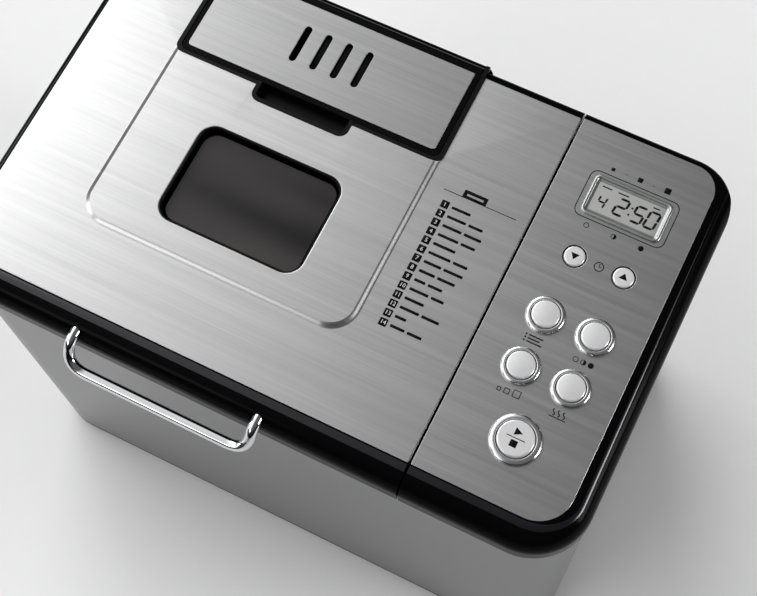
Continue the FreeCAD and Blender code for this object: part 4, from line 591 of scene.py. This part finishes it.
def makeDisplay():
    # frame: outer wall, a low dome of a sine to the power bend, then a ledge that falls to the glass
    s = display
    box = (s["x"] - s["wide"] / 2, s["x"] + s["wide"] / 2, s["y"] - s["deep"] / 2, s["y"] + s["deep"] / 2)
    low, wall, seat = s["low"], s["wall"], s["seat"]
    a = np.linspace(0, np.pi, 11)
    dome = np.stack([wall * s["domeShare"] / 2 * (1 - np.cos(a)),
                     low + s["side"] + (s["high"] - low - s["side"]) * np.clip(np.sin(a), 0, 1) ** s["bend"]], -1)
    share, upper, lower = s["ledge"]
    profile = [(0.0, low), *dome, (wall * share, low + upper), (wall, low + lower), (wall, s["glassLow"]),
               (seat, s["glassLow"]), (seat, low)]
    mesh = surface("displayFrame", [framed(*box, s["corner"], profile)])
    finishPiece(mesh, "displayFrame", "sheetSteel", "case", ["display_bezel"], sharp=40.0)
    inset = wall + s["glassGap"]
    glass = roundedLoop(box[0] + inset, box[1] - inset, box[2] + inset, box[3] - inset, s["glassCorner"], 5)
    mesh = flatPlate("displayGlass", [glass], s["glassLow"], s["glassTop"], s["glassEdge"])
    finishPiece(mesh, "displayGlass", "lcd", "case", ["display_lens"], sharp=40.0)


makeDisplay()
print("stage: display made")

# wire handle: a round bar bent twice at each end, its ends in the lid's front edge
wireHandle = dict(middle=-47.5, half=59.5, rootY=-111.5, kneeY=-123.7, barY=-135.1, rootZ=293.5, barZ=279.0, radius=3.4,
                  kneeBend=5.0, barBend=13.0)


def makeHandle():
    # a circle carried along a path of five legs, with a curve at each corner
    s = wireHandle
    ends = [s["middle"] - s["half"], s["middle"] + s["half"]]
    corners = [(ends[0], s["rootY"], s["rootZ"]), (ends[0], s["kneeY"], s["rootZ"]), (ends[0], s["barY"], s["barZ"]),
               (ends[1], s["barY"], s["barZ"]), (ends[1], s["kneeY"], s["rootZ"]), (ends[1], s["rootY"], s["rootZ"])]
    bends = [s["kneeBend"], s["barBend"], s["barBend"], s["kneeBend"]]
    points, sides, caps = tube(smoothPath(corners, bends), s["radius"], 24)
    mesh = surface("wireHandle", [(points, sides)] + [(points, c) for c in caps])
    finishPiece(mesh, "wireHandle", "chrome", "lid", ["lid_handle"], sharp=50.0)


makeHandle()
print("stage: handle made")

# dispenser flap: brushed plate with four vent slots, in a black frame
flapPlate = dict(middle=-53.5, half=83.8, front=71.2, rear=128.0, corners=(2.5, 2.5, 1.0, 1.0), low=301.2, high=302.0,
                 edge=0.3, slots=4, pitch=14.0, slotWide=4.5, slotFront=88.0, slotRear=113.8, slotFlat=0.01)


def makeFlapPlate():
    s = flapPlate
    loops = [roundedLoop(s["middle"] - s["half"], s["middle"] + s["half"], s["front"], s["rear"], s["corners"], 10)]
    for k in range(s["slots"]):
        x = s["middle"] + s["pitch"] * (k - (s["slots"] - 1) / 2)
        loops.append(roundedLoop(x - s["slotWide"] / 2, x + s["slotWide"] / 2, s["slotFront"], s["slotRear"],
                                 s["slotWide"] / 2 - s["slotFlat"], 10))
    mesh = flatPlate("flapPlate", loops, s["low"], s["high"], s["edge"])
    piece = finishPiece(mesh, "flapPlate", "steelFlap", "flap", ["flap_plate"], sharp=40.0)
    evenNormals(piece)


makeFlapPlate()
print("stage: flap plate made")

# window gasket: a moulded lip that stands a little above the lid's raised field
windowGasket = dict(middle=-53.5, half=47.7, front=-37.4, rear=30.4, corner=11.5, low=292.5, high=302.2, wall=1.5,
                    crown=0.7)


def makeGasket():
    # an upright strip whose top is half an ellipse
    s = windowGasket
    a = np.linspace(0, np.pi, 9)
    lip = np.stack([s["wall"] / 2 * (1 - np.cos(a)), s["high"] + s["crown"] * (np.sin(a) - 1)], -1)
    profile = [(0.0, s["low"]), *lip, (s["wall"], s["low"])]
    mesh = surface("windowGasket", [framed(s["middle"] - s["half"], s["middle"] + s["half"], s["front"], s["rear"],
                                           s["corner"], profile, 14)])
    finishPiece(mesh, "windowGasket", "blackMatte", "lid", ["window_gasket"], sharp=40.0)


makeGasket()
print("stage: window gasket made")


# rim beads: polished strips laid on the black rims where the crown's highlight falls, beside the steel along the front
# and lower down on the right side; their lighter blue-grey colour is painted sheen
rimBead = dict(lift=0.2, edgeSink=0.02, sink=0.3, across=9, turns=14, top=300.0, front=-121.5, outerCorner=36.0,
               tip=0.1)
rimSides = {
    "lidBead": dict(body="lid", steel=(-197.6, -105.2, 24.0), side=-202.5, rounds=(14.0, 5.0), gap=(0.8, 0.8),
                    width=(4.6, 1.3), start=99.6, stop=108.0),
    "panelBead": dict(body="case", steel=(189.3, -105.2, 21.0), side=202.5, rounds=(14.0, 14.0), gap=(0.8, 4.6),
                      width=(4.6, 2.6), start=101.4, stop=108.0),
}


def rimTop(x, y, item):
    # height of a rim rounded along its edge: top - r + sqrt(r^2 - (r - d)^2), d being the distance to the outline
    b = rimBead
    toFront, toSide = y - b["front"], abs(item["side"] - x)
    inCorner = (toFront < b["outerCorner"]) & (toSide < b["outerCorner"])
    reach = b["outerCorner"] - np.hypot(b["outerCorner"] - toFront, b["outerCorner"] - toSide)
    edge = np.where(inCorner, reach, np.minimum(toFront, toSide))
    broad, tight = item["rounds"]
    drop = [r - np.sqrt(r * r - np.clip(r - d, 0, r) ** 2) for r, d in
            ((broad, toFront if tight < broad else edge), (tight, edge))]
    return b["top"] - np.maximum(*drop)


def beadPath(item):
    # rows of x, y, outward x, outward y, share of the side: along the front, round the corner, up the side
    x0, y0, r = item["steel"]
    away = np.sign(item["side"])
    turn = np.linspace(0, np.pi / 2, rimBead["turns"])
    arc = np.stack([x0 - away * r + away * r * np.sin(turn), y0 + r - r * np.cos(turn), away * np.sin(turn),
                    -np.cos(turn), np.sin(turn) ** 2], -1)
    return np.concatenate([[(item["start"], y0, 0, -1, 0)], arc, [(x0, item["stop"], away, 0, 1)]])


def makeRimBead(name, item):
    # a lens-shaped section carried along the path; gap and width ease from front to side, and the rear end runs out
    b = rimBead
    path = beadPath(item)
    share = path[:, 4:]
    gap = item["gap"][0] + (item["gap"][1] - item["gap"][0]) * share
    width = item["width"][0] + (item["width"][1] - item["width"][0]) * share
    width[-1] = b["tip"]
    t = np.linspace(0, 1, b["across"])
    t = np.concatenate([t, t[-2:0:-1]])[None]
    raised = np.arange(t.shape[1])[None] < b["across"]
    lift = np.where(raised, b["lift"] * np.sqrt(np.sin(np.pi * t)) - b["edgeSink"], -b["sink"] * np.sin(np.pi * t))
    out = gap + width * t
    x = path[:, :1] + path[:, 2:3] * out
    y = path[:, 1:2] + path[:, 3:4] * out
    points = np.stack([x, y, rimTop(x, y, item) + lift * np.minimum(width / item["width"][1], 1.0)], -1)
    caps = [(points[k], [list(range(points.shape[1]))]) for k in (0, -1)]
    mesh = surface(name, [(points, gridFaces(*points.shape[:2]))] + caps)
    finishPiece(mesh, name, "bead", item["body"], sharp=50.0)


for name, item in rimSides.items():
    makeRimBead(name, item)
print("stage: rim beads made")


# printed marks: flat shapes of ink on the steel, the caps and the display
ink = dict(lift=0.01, depth=0.03)


def polygon(points):
    # one flat face
    return np.asarray(points, float), [list(range(len(points)))]


def rectangle(x0, x1, y0, y1):
    return polygon([(x0, y0), (x1, y0), (x1, y1), (x0, y1)])


def band(outer, inner):
    # the strip between two loops of equal count
    return np.concatenate([outer, inner]), gridFaces(2, len(outer))


def stroke(path, width):
    # a line of even width along a path: each point is moved half a width to either side
    path = np.asarray(path, float)
    along = np.gradient(path, axis=0)
    side = np.stack([-along[:, 1], along[:, 0]], -1) / np.linalg.norm(along, axis=1)[:, None] * width / 2
    return np.concatenate([path - side, path + side]), gridFaces(2, len(path), closed=False)


def printOn(name, shapes, level, body, look="ink"):
    # the shapes as one film of ink just above the given level
    parts = [(atHeight(points, level + ink["lift"]), faces) for points, faces in shapes]
    piece = finishPiece(surface(name, parts, outward=False), name, look, body)
    layer = piece.modifiers.new("layer", "SOLIDIFY")
    layer.thickness = ink["depth"] * mm
    layer.offset = 1.0


def numeral(number, size, x, y, z):
    # one number as a flat font outline of the ink's depth, centred on x, y, z
    curve = bpy.data.curves.new("numeral", "FONT")
    curve.body = str(number)
    curve.size = size * mm
    curve.align_x = "CENTER"
    curve.align_y = "CENTER"
    curve.extrude = ink["depth"] / 2 * mm
    curve.resolution_u = 3
    return curveMesh("programNumber", curve, Matrix.Translation((x * mm, y * mm, z * mm)))


# program list on the lid: a header, then numbered boxes with bars of their own lengths for each program
programList = dict(left=48.3, top=43.1, pitch=6.22, box=4.9, boxCorner=0.5, barLeft=55.2, barHigh=1.75, barGap=1.6,
                   barCorner=0.4, level=300.06, numeralSize=3.6,
                   bars=((12,), (12, 9), (12, 11), (13, 9), (14,), (14, 9), (11, 12), (10, 11), (7, 9), (12, 8), (12,),
                         (12, 11), (7,), (9, 9)))
# header: a line with a framed tab on it; heights are above the line's middle
listHeader = dict(y=51.9, left=46.0, right=92.1, line=0.25, tabLeft=57.5, tabRight=72.5, sill=1.7, post=2.2,
                  postTop=3.2, capLow=3.1, capHigh=5.1, capCorner=0.6)


def headerShapes():
    h = listHeader
    y, x0, x1 = h["y"], h["tabLeft"], h["tabRight"]
    sill, postTop = y + h["sill"], y + h["postTop"]
    return [rectangle(h["left"], h["right"], y - h["line"], y + h["line"]), rectangle(x0, x1, y + h["line"], sill),
            polygon(roundedLoop(x0, x1, y + h["capLow"], y + h["capHigh"], h["capCorner"], 4)),
            rectangle(x0, x0 + h["post"], sill, postTop), rectangle(x1 - h["post"], x1, sill, postTop)]


def makeProgramList():
    s = programList
    half, high = s["box"] / 2, s["barHigh"] / 2
    x, z = s["left"] + half, s["level"] + ink["lift"] + ink["depth"] * 1.5   # pale numbers lie on the boxes' ink
    shapes = headerShapes()
    joined = bmesh.new()
    for k, lengths in enumerate(s["bars"]):
        y = s["top"] - k * s["pitch"]
        shapes.append(polygon(roundedLoop(x - half, x + half, y - half, y + half, s["boxCorner"], 4)))
        start = s["barLeft"]
        for length in lengths:
            shapes.append(polygon(roundedLoop(start, start + length, y - high, y + high, s["barCorner"], 3)))
            start += length + s["barGap"]
        mesh = numeral(k + 1, s["numeralSize"], x, y, z)
        joined.from_mesh(mesh)
        bpy.data.meshes.remove(mesh)
    printOn("programList", shapes, s["level"], "lid")
    mesh = bpy.data.meshes.new("programNumbers")
    joined.to_mesh(mesh)
    joined.free()
    finishPiece(mesh, "programNumbers", "paleInk", "lid")


makeProgramList()
print("stage: program list printed")

# marks on the control plate, each about its own middle
panelMarks = dict(level=300.08, frame=(119.0, 175.0, 70.5, 102.0), frameCorner=5.0, line=0.55,
                  listAt=(131.8, -10.6), crustAt=(162.2, -10.6), loafAt=(131.8, -44.0), heatAt=(162.2, -43.4),
                  clockAt=(147.0, 45.9), shadesAt=(147.0, 66.6), crustGap=4.6, shadesGap=17.0,
                  sizesY=106.2, sizesDrop=1.4, sizes=((130.0, 1.1), (147.0, 1.5), (164.0, 1.9)), sizesCorner=0.3,
                  dots=(138.5, 155.5), dot=0.35)
listMark = dict(rows=(2.0, 0.0, -2.0), ends=(5.0, 3.6, 5.6), bullet=(-5.6, -4.6), bulletHalf=0.45, start=-3.6, half=0.4)
loafMark = dict(boxes=((-5.6, 1.2), (-1.0, 1.7), (4.8, 2.3)), base=-2.0, line=0.45, corners=(0.4, 0.2))
shadeMark = dict(outer=1.7, inner=1.3, filled=1.35)
heatMark = dict(waves=(-3, 0, 3), sway=0.75, low=-2.4, high=4.0, line=0.6, base=(5.0, -3.5, -3.0))
clockMark = dict(outer=3.0, inner=2.45, handHalf=0.22, tail=0.2, long=2.0, short=1.5)


def listShapes(x, y):
    # three rows: a bullet and a bar each
    m = listMark
    near, far = m["bullet"]
    bullets = [rectangle(x + near, x + far, y + r - m["bulletHalf"], y + r + m["bulletHalf"]) for r in m["rows"]]
    return bullets + [rectangle(x + m["start"], x + end, y + r - m["half"], y + r + m["half"])
                      for r, end in zip(m["rows"], m["ends"])]


def loafShapes(x, y):
    # three open squares of growing size on one base line
    m = loafMark
    low, w = y + m["base"], m["line"]
    return [band(roundedLoop(x + d - h, x + d + h, low, low + 2 * h, m["corners"][0], 4),
                 roundedLoop(x + d - h + w, x + d + h - w, low + w, low + 2 * h - w, m["corners"][1], 4))
            for d, h in m["boxes"]]


def shadeShapes(x, y, gap):
    # three rings: empty, half filled and filled
    m = shadeMark
    rings = [band(circle((x + d, y), m["outer"], 32), circle((x + d, y), m["inner"], 32)) for d in (-gap, 0, gap)]
    turn = np.linspace(-np.pi / 2, np.pi / 2, 17)
    half = np.stack([x + m["inner"] * np.cos(turn), y + m["inner"] * np.sin(turn)], -1)
    return rings + [polygon(half), polygon(circle((x + gap, y), m["filled"], 32))]


def heatShapes(x, y):
    # three upright sine waves over a base line
    m = heatMark
    t = np.linspace(0, 1, 21)
    waves = [stroke(np.stack([x + d + m["sway"] * np.sin(2 * np.pi * t), y + m["low"] + m["high"] * t], -1), m["line"])
             for d in m["waves"]]
    half, low, high = m["base"]
    return waves + [rectangle(x - half, x + half, y + low, y + high)]


def clockShapes(x, y):
    # a ring with two hands at three o'clock
    m = clockMark
    w, tail = m["handHalf"], m["tail"]
    return [band(circle((x, y), m["outer"], 40), circle((x, y), m["inner"], 40)),
            rectangle(x - w, x + w, y - tail, y + m["long"]), rectangle(x - tail, x + m["short"], y - w, y + w)]


def makePanelMarks():
    s = panelMarks
    x0, x1, y0, y1 = s["frame"]
    w, r = s["line"], s["frameCorner"]
    shapes = [band(roundedLoop(x0, x1, y0, y1, r, 8), roundedLoop(x0 + w, x1 - w, y0 + w, y1 - w, r - w, 8))]
    shapes += listShapes(*s["listAt"]) + shadeShapes(*s["crustAt"], s["crustGap"]) + loafShapes(*s["loafAt"])
    shapes += heatShapes(*s["heatAt"]) + clockShapes(*s["clockAt"]) + shadeShapes(*s["shadesAt"], s["shadesGap"])
    low = s["sizesY"] - s["sizesDrop"]
    shapes += [polygon(roundedLoop(x - h, x + h, low, low + 2 * h, s["sizesCorner"], 4)) for x, h in s["sizes"]]
    shapes += [polygon(circle((x, s["sizesY"]), s["dot"], 12)) for x in s["dots"]]
    printOn("panelMarks", shapes, s["level"], "case")


makePanelMarks()


# marks on the caps: down and up triangles on the timers, a triangle and a square on the start cap
capMarks = dict(sink=0.01, timers={"timer_down_button": ("timerDownMark", -1), "timer_up_button": ("timerUpMark", 1)},
                half=2.6, base=-1.5, tip=2.4, play=((-2.0, 1.3), (2.6, 3.6), (-2.0, 5.9)), line=(5.5, 0.25),
                stop=(2.1, -5.4, -1.4))


def makeCapMarks():
    s = capMarks
    for node, (name, way) in s["timers"].items():
        b = pushButtons[node]
        x, y = b["place"]
        base, tip = y + s["base"] * way, y + s["tip"] * way
        corners = [(x - s["half"], base), (x + s["half"], base), (x, tip)]
        printOn(name, [polygon(corners[::way])], b["top"] - s["sink"], node + "_cap")
    b = pushButtons["start_button"]
    x, y = b["place"]
    wide, high = s["line"]
    half, low, top = s["stop"]
    shapes = [polygon([(x + dx, y + dy) for dx, dy in s["play"]]), rectangle(x - wide, x + wide, y - high, y + high),
              rectangle(x - half, x + half, y + low, y + top)]
    printOn("startMark", shapes, b["top"] - s["sink"], "start_button_cap")


makeCapMarks()
print("stage: panel and cap marks printed")

# display digits: seven-segment figures that lean to the right; sizes are width, height and thickness
displayDigits = dict(level=299.9, lean=0.12, baseY=80.2, gap=0.12, small=(4.2, 7.4, 1.15), big=(6.0, 10.6, 1.5),
                     figures=(("4", 129.5, "small"), ("2", 140.0, "big"), ("5", 151.0, "big"), ("0", 159.2, "big")),
                     colonX=148.3, colonHeights=(2.4, 7.0), colonSide=1.2, colonCorner=0.3,
                     dashes=((128.6, 6.0), (138.6, 6.6), (160.5, 4.2)), dashLow=93.2, dashHigh=94.0)
segmentsOf = {"0": "abcdef", "2": "abged", "4": "fgbc", "5": "afgcd"}


def digit(figure, x, y, wide, high, thick):
    # each segment is a bar with pointed ends: six points about its middle, sheared by the lean
    lean = displayDigits["lean"]
    half = np.array([wide, high / 2, high / 2, wide, high / 2, high / 2, wide]) / 2 - displayDigits["gap"]
    flat = np.array([1, 0, 0, 1, 0, 0, 1])
    middle = np.array([(wide / 2, high), (wide, high * 0.75), (wide, high * 0.25), (wide / 2, 0), (0, high * 0.25),
                       (0, high * 0.75), (wide / 2, high / 2)])
    shape = np.array([(-1, 0), (-1, -1), (1, -1), (1, 0), (1, 1), (-1, 1)], float)
    shapes = []
    for k in ["abcdefg".index(name) for name in segmentsOf[figure]]:
        along = shape[:, 0] * (half[k] - np.abs(shape[:, 1]) * thick / 2)
        cross = shape[:, 1] * thick / 2
        bar = np.stack([along, cross] if flat[k] else [-cross, along], -1) + middle[k]
        shapes.append(polygon(np.stack([x + bar[:, 0] + lean * bar[:, 1], y + bar[:, 1]], -1)))
    return shapes


def makeDisplayDigits():
    s = displayDigits
    y, side = s["baseY"], s["colonSide"]
    shapes = [bar for figure, x, size in s["figures"] for bar in digit(figure, x, y, *s[size])]
    for rise in s["colonHeights"]:
        x = s["colonX"] + s["lean"] * rise
        shapes.append(polygon(roundedLoop(x, x + side, y + rise, y + rise + side, s["colonCorner"], 3)))
    shapes += [rectangle(x, x + wide, s["dashLow"], s["dashHigh"]) for x, wide in s["dashes"]]
    printOn("displayDigits", shapes, s["level"], "case", look="lcdInk")


makeDisplayDigits()
print("stage: display digits made")


# studio: pale floor and soft light from above and from the left
studio = dict(floor=("#f8f8f8", "#fdfdfd"), fibres=60.0, detail=5.0, rough=0.6, floorRough=0.8, floorSide=16.0)
# a white tent: bright overhead and to the left, dark towards the horizon; heights and sides are parts of a direction
tent = dict(heights=(0.25, 0.8), horizon=0.06, zenith=1.65, sides=(-0.5, -0.07), rightShare=0.08)
# soft boxes: place and target in metres, width and height, and power in watts
lamps = {
    "keySoftbox": dict(place=(-1.7, 0.7, 2.0), target=(0.0, 0.0, 0.25), size=(1.2, 1.2), power=10.0),
    "rearSoftbox": dict(place=(-1.9, 2.4, 1.8), target=(0.0, 0.0, 0.1), size=(1.6, 1.2), power=32.0),
    "leftSoftbox": dict(place=(-2.4, -0.8, 1.0), target=(-0.1, -0.1, 0.1), size=(1.2, 1.0), power=12.0),
    "rightSoftbox": dict(place=(2.3, 0.3, 0.85), target=(0.1, 0.0, 0.15), size=(0.9, 0.7), power=26.0),
    "frontSoftbox": dict(place=(-1.25, -2.3, 1.7), target=(0.0, 0.0, 0.2), size=(1.2, 0.6), power=9.0),
    "rimStrip": dict(place=(2.19, 0.79, 1.36), target=(0.2, 0.0, 0.3), size=(1.1, 0.35), power=2.4),
}


def makeFloor():
    # white paper: even and dull, with faint clumps of fibre, drawn 17 mm apart so that they show
    half = studio["floorSide"] / 2
    mesh = bpy.data.meshes.new("floor")
    mesh.from_pydata([(-half, -half, 0), (half, -half, 0), (half, half, 0), (-half, half, 0)], [], [(0, 1, 2, 3)])
    floor = bpy.data.objects.new("floor", mesh)
    bpy.context.scene.collection.objects.link(floor)
    dark, light = studio["floor"]
    paper, tree, shader = newMaterial("whitePaper", light, Roughness=studio["floorRough"])
    place = addNode(tree, "ShaderNodeTexCoord")
    fibre = addNode(tree, "ShaderNodeTexNoise", {"Scale": studio["fibres"], "Detail": studio["detail"],
                                                 "Roughness": studio["rough"]}, {"Vector": place.outputs["Object"]})
    dress(tree, shader, fibre.outputs["Fac"], dark, light)
    mesh.materials.append(paper)


def makeTent():
    world = bpy.data.worlds.new("studioTent")
    world.use_nodes = True
    tree = world.node_tree
    aim = addNode(tree, "ShaderNodeTexCoord")
    parts = addNode(tree, "ShaderNodeSeparateXYZ", {}, {"Vector": aim.outputs["Generated"]})
    (low, high), (left, right) = tent["heights"], tent["sides"]
    height = addNode(tree, "ShaderNodeMapRange", {"From Min": low, "From Max": high, "To Min": tent["horizon"],
                                                  "To Max": tent["zenith"]}, {"Value": parts.outputs["Z"]})
    side = addNode(tree, "ShaderNodeMapRange", {"From Min": left, "From Max": right, "To Min": 1.0,
                                                "To Max": tent["rightShare"]}, {"Value": parts.outputs["X"]})
    both = addNode(tree, "ShaderNodeMath", {"operation": "MULTIPLY"},
                   {0: height.outputs["Result"], 1: side.outputs["Result"]})
    sky = tree.nodes["Background"]
    sky.inputs["Color"].default_value = linear("#ffffff")
    feed(tree, sky, {"Strength": both.outputs["Value"]})
    bpy.context.scene.world = world
    bpy.context.scene.view_settings.view_transform = "Standard"


def addLamp(name, lamp):
    data = bpy.data.lights.new(name, "AREA")
    data.shape = "RECTANGLE"
    data.size, data.size_y = lamp["size"]
    data.energy = lamp["power"]
    item = bpy.data.objects.new(name, data)
    aim = Vector(lamp["target"]) - Vector(lamp["place"])
    item.matrix_world = Matrix.Translation(lamp["place"]) @ aim.to_track_quat("-Z", "Y").to_matrix().to_4x4()
    bpy.context.scene.collection.objects.link(item)


makeFloor()
makeTent()
for name, lamp in lamps.items():
    addLamp(name, lamp)
print("stage: studio lit")
